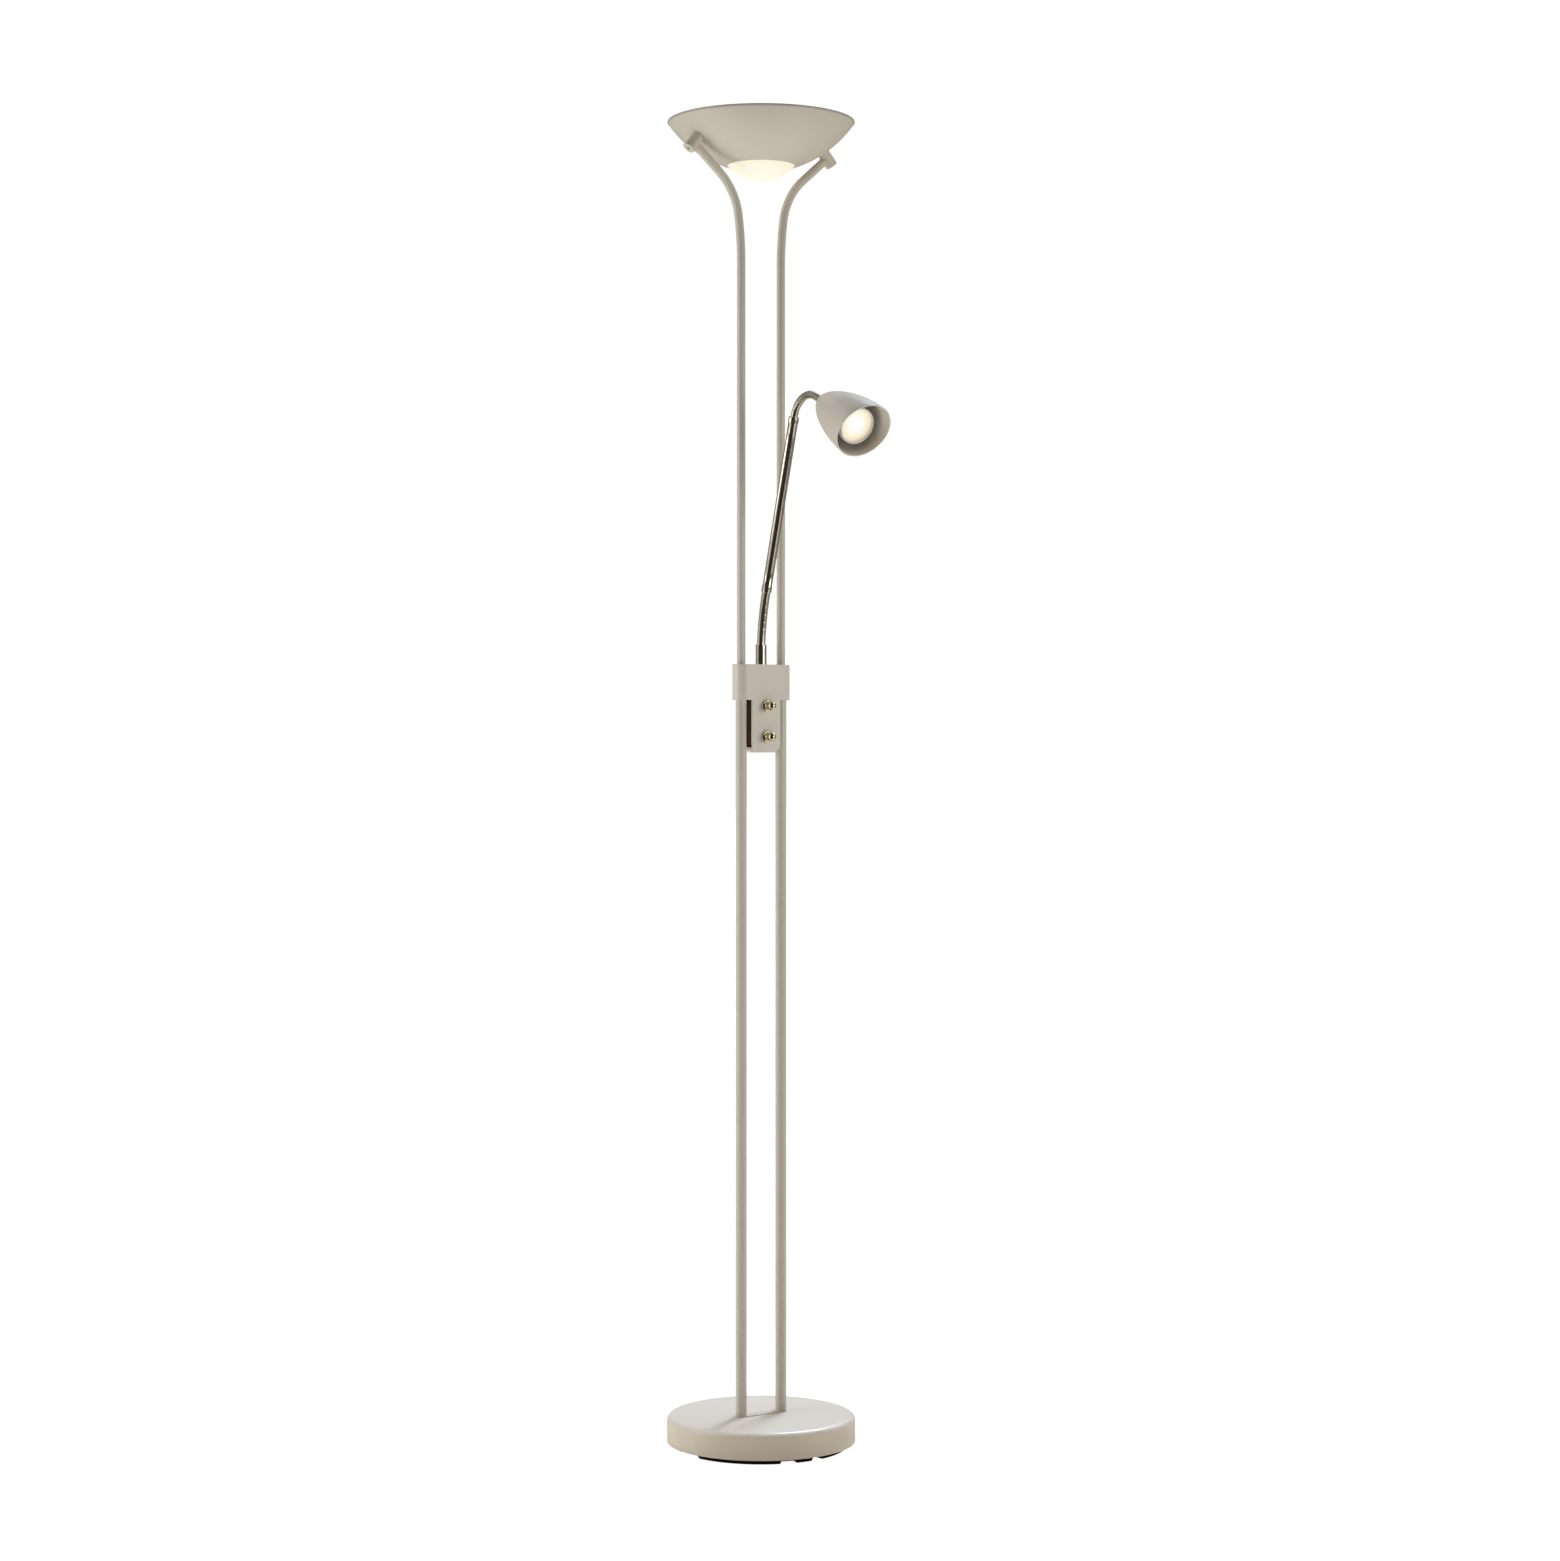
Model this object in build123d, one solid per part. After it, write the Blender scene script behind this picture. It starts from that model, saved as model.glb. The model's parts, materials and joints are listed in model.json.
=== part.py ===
from build123d import *
import os
from math import asin, cos, degrees, pi, radians, sin, sqrt, tan

# Floor lamp with a bowl uplight and a reading light on two goosenecks.
# Millimetres and degrees. X runs along the line of the two poles, the front is -Y, Z is up.
# The origin is on the floor under the middle of the base.

# Clearances
SEAT_GAP = 0.05
RUNNING_GAP = 0.05
BALL_GAP = 0.3
REST_GAP = 0.3

# Base
BASE_DIAMETER = 256.4
BASE_TOP_Z = 43.4
COVER_WALL = 1.5
COVER_EDGE_RADIUS = 8.0
UNDERLAY_THICKNESS = 7.3
UNDERLAY_DIAMETER = 231.0
NOTCH_GROUPS = 2
WIDE_NOTCH_TURN = -91.5
WIDE_NOTCH_WIDTH = 42.0
WIDE_NOTCH_SLANT = 4.0
MIDDLE_NOTCH_TURN = -15.0
MIDDLE_NOTCH_WIDTH = 20.0
SMALL_NOTCH_TURN = 7.0
SMALL_NOTCH_WIDTH = 15.5
NOTCH_SLANT = 1.5
NOTCH_DEPTH = 14.0
WEIGHT_DIAMETER = 244.0
WEIGHT_THICKNESS = 16.0
WEIGHT_BRIDGE_WIDTH = 30.0
WEIGHT_RECESS_DEPTH = 10.0
FOOT_PLATE_WIDTH = 17.5
FOOT_PLATE_THICKNESS = 1.2
STUD_DIAMETER = 10.0
STUD_BORE = 7.0
STUD_TAIL = 1.2
STUD_NUT_ACROSS = 17.0
STUD_NUT_HEIGHT = 6.0
STUD_WASHER_DIAMETER = 22.0
STUD_WASHER_THICKNESS = 1.6
GLAND_Z = 27.4
GLAND_BORE = 6.6
GLAND_BODY_DIAMETER = 10.0
GLAND_FLANGE_DIAMETER = 14.0
GLAND_FLANGE_THICKNESS = 2.0
GLAND_NOSE_LENGTH = 4.0

# Poles
POLE_SPACING = 64.8
LOWER_POLE_DIAMETER = 15.0
UPPER_POLE_DIAMETER = 11.5
POLE_WALL = 1.0
POLE_PLUG_LENGTH = 20.0
UPPER_POLE_INSERT = 34.0
FIRST_BEND_RADIUS = 450.0
FIRST_BEND_TURN = 8.0
SECOND_BEND_RADIUS = 90.0

# Collar
COLLAR_BOTTOM_Z = 1015.2
COLLAR_HEIGHT = 48.2
COLLAR_LENGTH = 88.0
COLLAR_DEPTH = 27.0
COLLAR_ROOF = 3.7
COLLAR_SOCKET_DEPTH = 28.0
COLLAR_CAVITY_LENGTH = 34.0
COLLAR_CAVITY_DEPTH = 19.0
COLLAR_EDGE_RADIUS = 0.8
SET_SCREW_DIAMETER = 4.0
SET_SCREW_SOCKET = 2.0
SET_SCREW_SOCKET_DEPTH = 1.5
SET_SCREW_INSET = 10.0

# Dimmer box
DIMMER_WIDTH = 46.0
DIMMER_BOTTOM_Z = 943.7
DIMMER_REAR_REACH = 9.5
DIMMER_WALL = 1.6
DIMMER_CORNER_RADIUS = 12.0
DIMMER_EDGE_RADIUS = 0.7
DIMMER_SLOT_FRONT = 2.8
DIMMER_SLOT_REAR = 5.5
DIMMER_SLOT_BOTTOM = 7.5
DIMMER_BACK_THICKNESS = 1.6
MODULE_SIDE_GAP = 0.8
MODULE_END_GAP = 8.0
MODULE_FOOT_RADIUS = 5.0
COVER_SCREW_DIAMETER = 3.0
COVER_SCREW_HEAD = 5.5
COVER_SCREW_HEAD_HEIGHT = 1.6
COVER_SCREW_LENGTH = 8.0
COVER_SCREW_INSET = 16.0

# Dimmer knobs
UPPER_KNOB_Z = 1006.9
LOWER_KNOB_Z = 965.2
KNOB_RIM_DIAMETER = 15.8
KNOB_RIM_THICKNESS = 3.0
KNOB_NECK_DIAMETER = 8.6
KNOB_BALL_DIAMETER = 11.4
KNOB_LENGTH = 18.5
KNOB_STAND_OFF = 0.4
KNOB_RECESS_DIAMETER = 12.4
KNOB_RECESS_DEPTH = 2.2
KNOB_BORE_DEPTH = 14.0
SHAFT_DIAMETER = 5.0
SHAFT_TAIL = 5.0
BUSHING_DIAMETER = 7.0
BUSHING_NUT_ACROSS = 10.0
BUSHING_NUT_HEIGHT = 1.8

# Uplight bowl and its bosses
TOTAL_HEIGHT = 1802.4
BOWL_DIAMETER = 255.0
BOWL_SPHERE_RADIUS = 156.0
BOWL_WALL = 1.2
BOWL_LIP = 1.0
BOWL_HOLE_DIAMETER = 92.0
BOSS_REACH = 0.796
BOSS_DIAMETER = 17.0
BOSS_LENGTH = 24.0
BOSS_EDGE_RADIUS = 0.6
BOSS_POLE_DEPTH = 3.0
BOSS_SCREW_DIAMETER = 5.0
BOSS_SCREW_HEAD = 9.0
BOSS_SCREW_HEAD_HEIGHT = 2.6
BOSS_SCREW_REACH = 5.2
GLASS_SPHERE_RADIUS = 60.0
GLASS_WALL = 3.0
GLASS_RIM_DIAMETER = 104.0
CLIP_COUNT = 3
CLIP_WIDTH = 8.0
CLIP_THICKNESS = 1.0
CLIP_FOOT = 12.0
CLIP_FINGER = 7.0

# Lamp inside the bowl
BRACKET_WIDTH = 20.0
BRACKET_THICKNESS = 1.6
BRACKET_TAB = 16.0
LINEAR_BULB_LENGTH = 114.2
LINEAR_TUBE_LENGTH = 84.0
LINEAR_TUBE_DIAMETER = 11.0
LINEAR_CAP_DIAMETER = 7.0
LINEAR_BULB_RISE = 20.0
HOLDER_LENGTH = 14.0
HOLDER_WIDTH = 18.0
HOLDER_CROWN = 8.0
HOLDER_GRIP = 6.0

# Reading arm
FERRULE_DIAMETER = 14.8
FERRULE_HEIGHT = 27.4
FERRULE_TAIL_DIAMETER = 9.8
FERRULE_NUT_ACROSS = 16.0
FERRULE_NUT_HEIGHT = 4.0
ARM_BORE = 2.4
ARM_LEAN = 16.2
LOWER_NECK_LEAN = 4.0
LOWER_NECK_DIAMETER = 12.2
LOWER_NECK_LENGTH = 72.0
LOWER_NECK_LINKS = 7
LOWER_BALL_DIAMETER = 6.8
LOWER_STEM_DIAMETER = 4.8
UPPER_NECK_DIAMETER = 10.4
UPPER_NECK_LENGTH = 76.95
UPPER_NECK_RADIUS = 37.0
UPPER_NECK_LINKS = 7
UPPER_BALL_DIAMETER = 5.8
UPPER_STEM_DIAMETER = 4.2
RIBS_PER_LINK = 4
RIB_HEIGHT = 0.7
RIB_FLANK = 0.15
RIB_GROOVE = 1.45
SOCKET_LIP = 1.2
TUBE_DIAMETER = 13.0
TUBE_WALL = 1.0
TUBE_LENGTH = 241.5
CRIMP_DIAMETER = 14.0
CRIMP_LENGTH = 9.0
CRIMP_SOLID = 14.0

# Reading head
HEAD_DIP = 26.6
MOUTH_DIP = 39.0
SHADE_LENGTH = 110.0
SHADE_MOUTH_DIAMETER = 78.4
SHADE_SHAPE = 1.75
SHADE_WALL = 1.0
SHADE_FLAT = 2.75
STUB_LENGTH = 3.0
STUB_TAIL_DIAMETER = 6.0
STUB_TAIL_LENGTH = 13.0
STUB_NUT_ACROSS = 10.0
STUB_NUT_HEIGHT = 3.5
SPOT_DIAMETER = 50.0
SPOT_LENGTH = 52.0
SPOT_RECESS = 15.5
SPOT_RIM_HEIGHT = 7.0
SPOT_BASE_DIAMETER = 26.0
SPOT_BASE_HEIGHT = 16.0
SPOT_LENS_DIAMETER = 45.0
SPOT_LENS_THICKNESS = 2.4
SPOT_PIN_DIAMETER = 4.8
SPOT_PIN_SPACING = 10.0
SPOT_PIN_LENGTH = 7.0
SPOT_HOLDER_DIAMETER = 24.0
SPOT_HOLDER_GRIP = 3.5

# Places worked out from the sizes
BASE_RADIUS = BASE_DIAMETER / 2
COVER_CEILING_Z = BASE_TOP_Z - COVER_WALL
FOOT_TOP_Z = BASE_TOP_Z + FOOT_PLATE_THICKNESS
POLE_X = POLE_SPACING / 2
COLLAR_TOP_Z = COLLAR_BOTTOM_Z + COLLAR_HEIGHT
COLLAR_STEP_Z = COLLAR_BOTTOM_Z + COLLAR_SOCKET_DEPTH
FRONT = COLLAR_DEPTH / 2
SIDES = (("left", -1), ("right", 1))
STEEL_UP = (Align.CENTER, Align.CENTER, Align.MIN)

BOWL_RADIUS = BOWL_DIAMETER / 2
BOSS_ANGLE = degrees(asin(BOSS_REACH * BOWL_RADIUS / BOWL_SPHERE_RADIUS))
BOWL_CENTRE_Z = TOTAL_HEIGHT - BOWL_LIP + sqrt(BOWL_SPHERE_RADIUS**2 - BOWL_RADIUS**2)
BOWL_INNER_RADIUS = BOWL_SPHERE_RADIUS - BOWL_WALL
BOSS_SEAT = BOWL_SPHERE_RADIUS + SEAT_GAP
BOSS_MIDDLE = BOSS_SEAT + BOSS_LENGTH / 2

parts = {}


def rod(start, end, radius):
    """Cylinder from one point to another."""
    run = Vector(end) - Vector(start)
    return Plane(start, z_dir=run) * Cylinder(radius, run.length, align=STEEL_UP)


def turned(points):
    """Solid turned about Z from a closed outline of (radius, height) points."""
    outline = Polyline(*[(r, 0, z) for r, z in points], close=True)
    return revolve(make_face(outline), Axis.Z)


def stadium(length, width, bottom, height):
    """Upright block with two straight sides along X and two half-round ends."""
    return Pos(0, 0, bottom) * extrude(SlotOverall(length, width), height)


def hex_nut(across, bore, height):
    """Hexagon nut that stands on its own origin."""
    body = extrude(RegularPolygon(across / 2, 6, major_radius=False), height)
    return body - Cylinder(bore / 2, height, align=STEEL_UP)


def grub_screw(length):
    """Headless screw from the origin up, with a hexagon socket in its top end."""
    socket = extrude(RegularPolygon(SET_SCREW_SOCKET / 2, 6, major_radius=False), SET_SCREW_SOCKET_DEPTH)
    body = Cylinder(SET_SCREW_DIAMETER / 2, length, align=STEEL_UP)
    return body - Pos(0, 0, length - SET_SCREW_SOCKET_DEPTH) * socket


def front_plane(x, forward, z):
    """Plane that faces the front of the lamp."""
    return Plane((x, -forward, z), x_dir=(1, 0, 0), z_dir=(0, -1, 0))


# Base

def underlay_notch(turn, width, slant):
    """Cut through the underlay's edge, wider at the floor than at the top, turned from the front about Z."""
    wide = width / 2 + slant
    narrow = width / 2 - slant
    outline = Polyline((-wide, 0), (wide, 0), (narrow, UNDERLAY_THICKNESS), (-narrow, UNDERLAY_THICKNESS),
                       close=True)
    cut = extrude(Plane.XZ * make_face(outline), NOTCH_DEPTH * 2, both=True)
    reach = UNDERLAY_DIAMETER / 2 + NOTCH_DEPTH
    return Rot(0, 0, turn) * Pos(0, -reach, 0) * cut


def base_underlay():
    """Soft disc under the base, with the same three notches on its front and rear edges."""
    disc = Cylinder(UNDERLAY_DIAMETER / 2, UNDERLAY_THICKNESS, align=STEEL_UP)
    for group in range(NOTCH_GROUPS):
        start = group * 360 / NOTCH_GROUPS
        disc -= underlay_notch(start + WIDE_NOTCH_TURN, WIDE_NOTCH_WIDTH, WIDE_NOTCH_SLANT)
        disc -= underlay_notch(start + MIDDLE_NOTCH_TURN, MIDDLE_NOTCH_WIDTH, NOTCH_SLANT)
        disc -= underlay_notch(start + SMALL_NOTCH_TURN, SMALL_NOTCH_WIDTH, NOTCH_SLANT)
    return disc


def base_cover():
    """Pressed shell with a rounded top edge, open underneath."""
    inner = BASE_RADIUS - COVER_WALL
    outer_block = Cylinder(BASE_RADIUS, BASE_TOP_Z - UNDERLAY_THICKNESS, align=STEEL_UP)
    outer_block = fillet(outer_block.edges().group_by(Axis.Z)[-1], COVER_EDGE_RADIUS)
    inner_block = Cylinder(inner, COVER_CEILING_Z - UNDERLAY_THICKNESS, align=STEEL_UP)
    inner_block = fillet(inner_block.edges().group_by(Axis.Z)[-1], COVER_EDGE_RADIUS - COVER_WALL)
    shell = Pos(0, 0, UNDERLAY_THICKNESS) * (outer_block - inner_block)
    for _, side in SIDES:
        hole = Cylinder(STUD_DIAMETER / 2 + SEAT_GAP, BASE_TOP_Z, align=STEEL_UP)
        shell -= Pos(side * POLE_X, 0, UNDERLAY_THICKNESS) * hole
    port = rod((0, inner - COVER_WALL, GLAND_Z), (0, BASE_RADIUS + COVER_WALL, GLAND_Z),
               GLAND_BODY_DIAMETER / 2 + SEAT_GAP)
    return shell - port


def base_weight():
    """Cast disc with a bridge that carries the cover under the two poles."""
    disc = Cylinder(WEIGHT_DIAMETER / 2, WEIGHT_THICKNESS, align=STEEL_UP)
    bridge = stadium(POLE_SPACING + WEIGHT_BRIDGE_WIDTH, WEIGHT_BRIDGE_WIDTH, 0,
                     COVER_CEILING_Z - UNDERLAY_THICKNESS)
    weight = Pos(0, 0, UNDERLAY_THICKNESS) * (disc + bridge)
    for _, side in SIDES:
        hole = Cylinder(STUD_DIAMETER / 2 + SEAT_GAP, BASE_TOP_Z, align=STEEL_UP)
        recess = Cylinder(STUD_WASHER_DIAMETER / 2 + 1, WEIGHT_RECESS_DEPTH, align=STEEL_UP)
        weight -= Pos(side * POLE_X, 0, UNDERLAY_THICKNESS) * hole
        weight -= Pos(side * POLE_X, 0, UNDERLAY_THICKNESS) * recess
    return weight


def foot_plate():
    """Thin oblong plate under both poles."""
    plate = stadium(POLE_SPACING + FOOT_PLATE_WIDTH, FOOT_PLATE_WIDTH, BASE_TOP_Z, FOOT_PLATE_THICKNESS)
    for _, side in SIDES:
        hole = Cylinder(STUD_DIAMETER / 2 + SEAT_GAP, FOOT_PLATE_THICKNESS, align=STEEL_UP)
        plate -= Pos(side * POLE_X, 0, BASE_TOP_Z) * hole
    return plate


def cord_gland():
    """Soft bush in the rear wall, with a flange on each side of the wall."""
    inner_face = sqrt((BASE_RADIUS - COVER_WALL)**2 - (GLAND_FLANGE_DIAMETER / 2)**2) - SEAT_GAP
    outer_face = BASE_RADIUS + SEAT_GAP
    body = rod((0, inner_face, GLAND_Z), (0, outer_face, GLAND_Z), GLAND_BODY_DIAMETER / 2)
    inside = rod((0, inner_face - GLAND_FLANGE_THICKNESS, GLAND_Z), (0, inner_face, GLAND_Z),
                 GLAND_FLANGE_DIAMETER / 2)
    flange_end = outer_face + GLAND_FLANGE_THICKNESS
    outside = rod((0, outer_face, GLAND_Z), (0, flange_end, GLAND_Z), GLAND_FLANGE_DIAMETER / 2)
    nose = Plane((0, flange_end, GLAND_Z), z_dir=(0, 1, 0)) * Cone(
        GLAND_FLANGE_DIAMETER / 2, GLAND_BODY_DIAMETER / 2, GLAND_NOSE_LENGTH, align=STEEL_UP)
    bore = rod((0, inner_face - GLAND_FLANGE_THICKNESS, GLAND_Z),
               (0, flange_end + GLAND_NOSE_LENGTH, GLAND_Z), GLAND_BORE / 2)
    return body + inside + outside + nose - bore


RECESS_CEILING_Z = UNDERLAY_THICKNESS + WEIGHT_RECESS_DEPTH
STUD_NUT_TOP_Z = RECESS_CEILING_Z - STUD_WASHER_THICKNESS
STUD_BOTTOM_Z = STUD_NUT_TOP_Z - STUD_NUT_HEIGHT - STUD_TAIL
STUD_LENGTH = FOOT_TOP_Z + POLE_PLUG_LENGTH - STUD_BOTTOM_Z


def stud():
    """Hollow threaded stud that clamps a pole to the base."""
    return Cylinder(STUD_DIAMETER / 2, STUD_LENGTH, align=STEEL_UP) - Cylinder(
        STUD_BORE / 2, STUD_LENGTH, align=STEEL_UP)


def at_poles(piece, z):
    """The same piece at both poles, as separate solids."""
    return Compound([Pos(side * POLE_X, 0, z) * piece for _, side in SIDES])


parts["base_underlay"] = base_underlay()
parts["base_cover"] = base_cover()
parts["base_weight"] = base_weight()
parts["foot_plate"] = foot_plate()
parts["cord_gland"] = cord_gland()
parts["pole_studs"] = at_poles(stud(), STUD_BOTTOM_Z)
stud_washer = Cylinder(STUD_WASHER_DIAMETER / 2, STUD_WASHER_THICKNESS, align=STEEL_UP) - Cylinder(
    STUD_DIAMETER / 2 + SEAT_GAP, STUD_WASHER_THICKNESS, align=STEEL_UP)
parts["stud_washers"] = at_poles(stud_washer, STUD_NUT_TOP_Z)
stud_nut = hex_nut(STUD_NUT_ACROSS, STUD_DIAMETER + 2 * SEAT_GAP, STUD_NUT_HEIGHT)
parts["stud_nuts"] = at_poles(stud_nut, STUD_NUT_TOP_Z - STUD_NUT_HEIGHT)


# Poles

LOWER_POLE_BORE = LOWER_POLE_DIAMETER - 2 * POLE_WALL
UPPER_POLE_BORE = UPPER_POLE_DIAMETER - 2 * POLE_WALL
UPPER_POLE_BOTTOM_Z = COLLAR_STEP_Z - UPPER_POLE_INSERT


def pipe(outer, inner, length):
    """Straight tube that stands on its own origin."""
    return Cylinder(outer / 2, length, align=STEEL_UP) - Cylinder(inner / 2, length, align=STEEL_UP)


def boss_point(distance, side):
    """Point on a boss axis, at a distance from the centre of the bowl's sphere."""
    angle = radians(BOSS_ANGLE)
    return Vector(side * distance * sin(angle), 0, BOWL_CENTRE_Z - distance * cos(angle))


def upper_pole_path():
    """Centre line of the right upper pole: straight, gentle bend, tight bend, straight to its boss."""
    gentle = radians(FIRST_BEND_TURN)
    final = radians(90 - BOSS_ANGLE)
    end = boss_point(BOSS_MIDDLE, 1)
    across = end.X - POLE_X - FIRST_BEND_RADIUS * (1 - cos(gentle))
    across -= SECOND_BEND_RADIUS * (cos(gentle) - cos(final))
    last_run = across / sin(final)
    rise = FIRST_BEND_RADIUS * sin(gentle) + SECOND_BEND_RADIUS * (sin(final) - sin(gentle))
    bend_z = end.Z - last_run * cos(final) - rise
    straight = Line((POLE_X, UPPER_POLE_BOTTOM_Z), (POLE_X, bend_z))
    first = JernArc(straight @ 1, (0, 1), FIRST_BEND_RADIUS, -FIRST_BEND_TURN)
    second = JernArc(first @ 1, first % 1, SECOND_BEND_RADIUS, -(90 - BOSS_ANGLE - FIRST_BEND_TURN))
    last = Line(second @ 1, second @ 1 + (second % 1) * (last_run + BOSS_POLE_DEPTH))
    return Plane.XZ * Wire([straight.edge(), first.edge(), second.edge(), last.edge()])


def upper_pole(side):
    """Bent tube from the collar to a boss."""
    ring = Circle(UPPER_POLE_DIAMETER / 2) - Circle(UPPER_POLE_BORE / 2)
    tube = sweep(Pos(POLE_X, 0, UPPER_POLE_BOTTOM_Z) * ring, upper_pole_path())
    return tube if side > 0 else mirror(tube, Plane.YZ)


lower_pole = pipe(LOWER_POLE_DIAMETER, LOWER_POLE_BORE, COLLAR_STEP_Z - FOOT_TOP_Z)
pole_plug = pipe(LOWER_POLE_BORE - 2 * SEAT_GAP, STUD_DIAMETER + 2 * SEAT_GAP, POLE_PLUG_LENGTH)
pole_reducer = pipe(LOWER_POLE_BORE - 2 * SEAT_GAP, UPPER_POLE_DIAMETER + 2 * SEAT_GAP, UPPER_POLE_INSERT)
parts["pole_plugs"] = at_poles(pole_plug, FOOT_TOP_Z)
parts["pole_reducers"] = at_poles(pole_reducer, UPPER_POLE_BOTTOM_Z)
for name, side in SIDES:
    parts["lower_pole_" + name] = Pos(side * POLE_X, 0, FOOT_TOP_Z) * lower_pole
    parts["upper_pole_" + name] = upper_pole(side)


# Collar

SET_SCREW_LEVELS = (
    (COLLAR_BOTTOM_Z + SET_SCREW_INSET, LOWER_POLE_DIAMETER / 2),
    (COLLAR_TOP_Z - SET_SCREW_INSET, UPPER_POLE_DIAMETER / 2),
)


def collar():
    """Block that joins the lower poles to the upper poles and carries the reading arm."""
    body = stadium(COLLAR_LENGTH, COLLAR_DEPTH, COLLAR_BOTTOM_Z, COLLAR_HEIGHT)
    body = fillet(body.edges().group_by(Axis.Z)[-1], COLLAR_EDGE_RADIUS)
    cavity = Box(COLLAR_CAVITY_LENGTH, COLLAR_CAVITY_DEPTH, COLLAR_HEIGHT - COLLAR_ROOF, align=STEEL_UP)
    body -= Pos(0, 0, COLLAR_BOTTOM_Z) * cavity
    socket = Cylinder(LOWER_POLE_DIAMETER / 2 + SEAT_GAP, COLLAR_SOCKET_DEPTH, align=STEEL_UP)
    through = Cylinder(UPPER_POLE_DIAMETER / 2 + SEAT_GAP, COLLAR_HEIGHT, align=STEEL_UP)
    for _, side in SIDES:
        body -= Pos(side * POLE_X, 0, COLLAR_BOTTOM_Z) * (socket + through)
        for z, _ in SET_SCREW_LEVELS:
            body -= rod((side * POLE_X, 0, z), (side * POLE_X, COLLAR_DEPTH, z),
                        SET_SCREW_DIAMETER / 2 + SEAT_GAP)
    tail_hole = Cylinder(FERRULE_TAIL_DIAMETER / 2 + SEAT_GAP, COLLAR_HEIGHT, align=STEEL_UP)
    return body - Pos(0, 0, COLLAR_BOTTOM_Z) * tail_hole


def collar_screws():
    """Grub screws from the rear that lock all four pole ends."""
    screws = []
    for _, side in SIDES:
        for z, pole_radius in SET_SCREW_LEVELS:
            start = pole_radius + SEAT_GAP
            place = Plane((side * POLE_X, start, z), z_dir=(0, 1, 0))
            screws.append(place * grub_screw(COLLAR_DEPTH / 2 - SET_SCREW_SOCKET_DEPTH / 2 - start))
    return Compound(screws)


parts["collar"] = collar()
parts["collar_screws"] = collar_screws()


# Dimmer box

DIMMER_HEIGHT = COLLAR_BOTTOM_Z - DIMMER_BOTTOM_Z
MODULE_FRONT = FRONT - DIMMER_WALL - REST_GAP
MODULE_REAR = -DIMMER_REAR_REACH + REST_GAP
MODULE_BOTTOM_Z = DIMMER_BOTTOM_Z + MODULE_END_GAP
MODULE_TOP_Z = COLLAR_BOTTOM_Z - REST_GAP
KNOB_LEVELS = (("upper", UPPER_KNOB_Z), ("lower", LOWER_KNOB_Z))
COVER_SCREW_LEVELS = (COLLAR_BOTTOM_Z - COVER_SCREW_INSET, DIMMER_BOTTOM_Z + COVER_SCREW_INSET)


def shield(width, bottom, top, radius, rear, front):
    """Block seen from the front as a plate with two rounded lower corners."""
    middle = (bottom + top) / 2
    plate = Rectangle(width, top - bottom)
    lower_corners = plate.vertices().group_by(Axis.Y)[0]
    plate = fillet(lower_corners, radius)
    return front_plane(0, rear, middle) * extrude(plate, front - rear)


def dimmer_cover():
    """Shell round the front, bottom and sides of the dimmer, with a long slot in each side."""
    outer = shield(DIMMER_WIDTH, DIMMER_BOTTOM_Z, COLLAR_BOTTOM_Z, DIMMER_CORNER_RADIUS,
                   -DIMMER_REAR_REACH, FRONT)
    front_edges = outer.edges().group_by(Axis.Y)[0].filter_by(GeomType.CIRCLE)
    outer = fillet(front_edges, DIMMER_EDGE_RADIUS)
    inner = shield(DIMMER_WIDTH - 2 * DIMMER_WALL, DIMMER_BOTTOM_Z + DIMMER_WALL,
                   COLLAR_BOTTOM_Z + DIMMER_WALL, DIMMER_CORNER_RADIUS - DIMMER_WALL,
                   -DIMMER_REAR_REACH - DIMMER_WALL, FRONT - DIMMER_WALL)
    shell = outer - inner
    slot_front = FRONT - DIMMER_SLOT_FRONT
    slot_rear = DIMMER_SLOT_REAR - DIMMER_REAR_REACH
    slot_bottom = DIMMER_BOTTOM_Z + DIMMER_SLOT_BOTTOM
    slot = Box(2 * DIMMER_WIDTH, slot_front - slot_rear, COLLAR_BOTTOM_Z - slot_bottom, align=STEEL_UP)
    shell -= Pos(0, -(slot_front + slot_rear) / 2, slot_bottom) * slot
    for _, z in KNOB_LEVELS:
        shell -= rod((0, 0, z), (0, -FRONT - DIMMER_WALL, z), BUSHING_DIAMETER / 2 + SEAT_GAP)
    return shell


def dimmer_back():
    """Flat plate that closes the rear of the dimmer cover."""
    rear = -DIMMER_REAR_REACH - DIMMER_BACK_THICKNESS
    plate = shield(DIMMER_WIDTH, DIMMER_BOTTOM_Z, COLLAR_BOTTOM_Z, DIMMER_CORNER_RADIUS,
                   rear, -DIMMER_REAR_REACH)
    for z in COVER_SCREW_LEVELS:
        plate -= rod((0, 0, z), (0, 2 * DIMMER_WIDTH, z), COVER_SCREW_DIAMETER / 2 + SEAT_GAP)
    return plate


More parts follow.
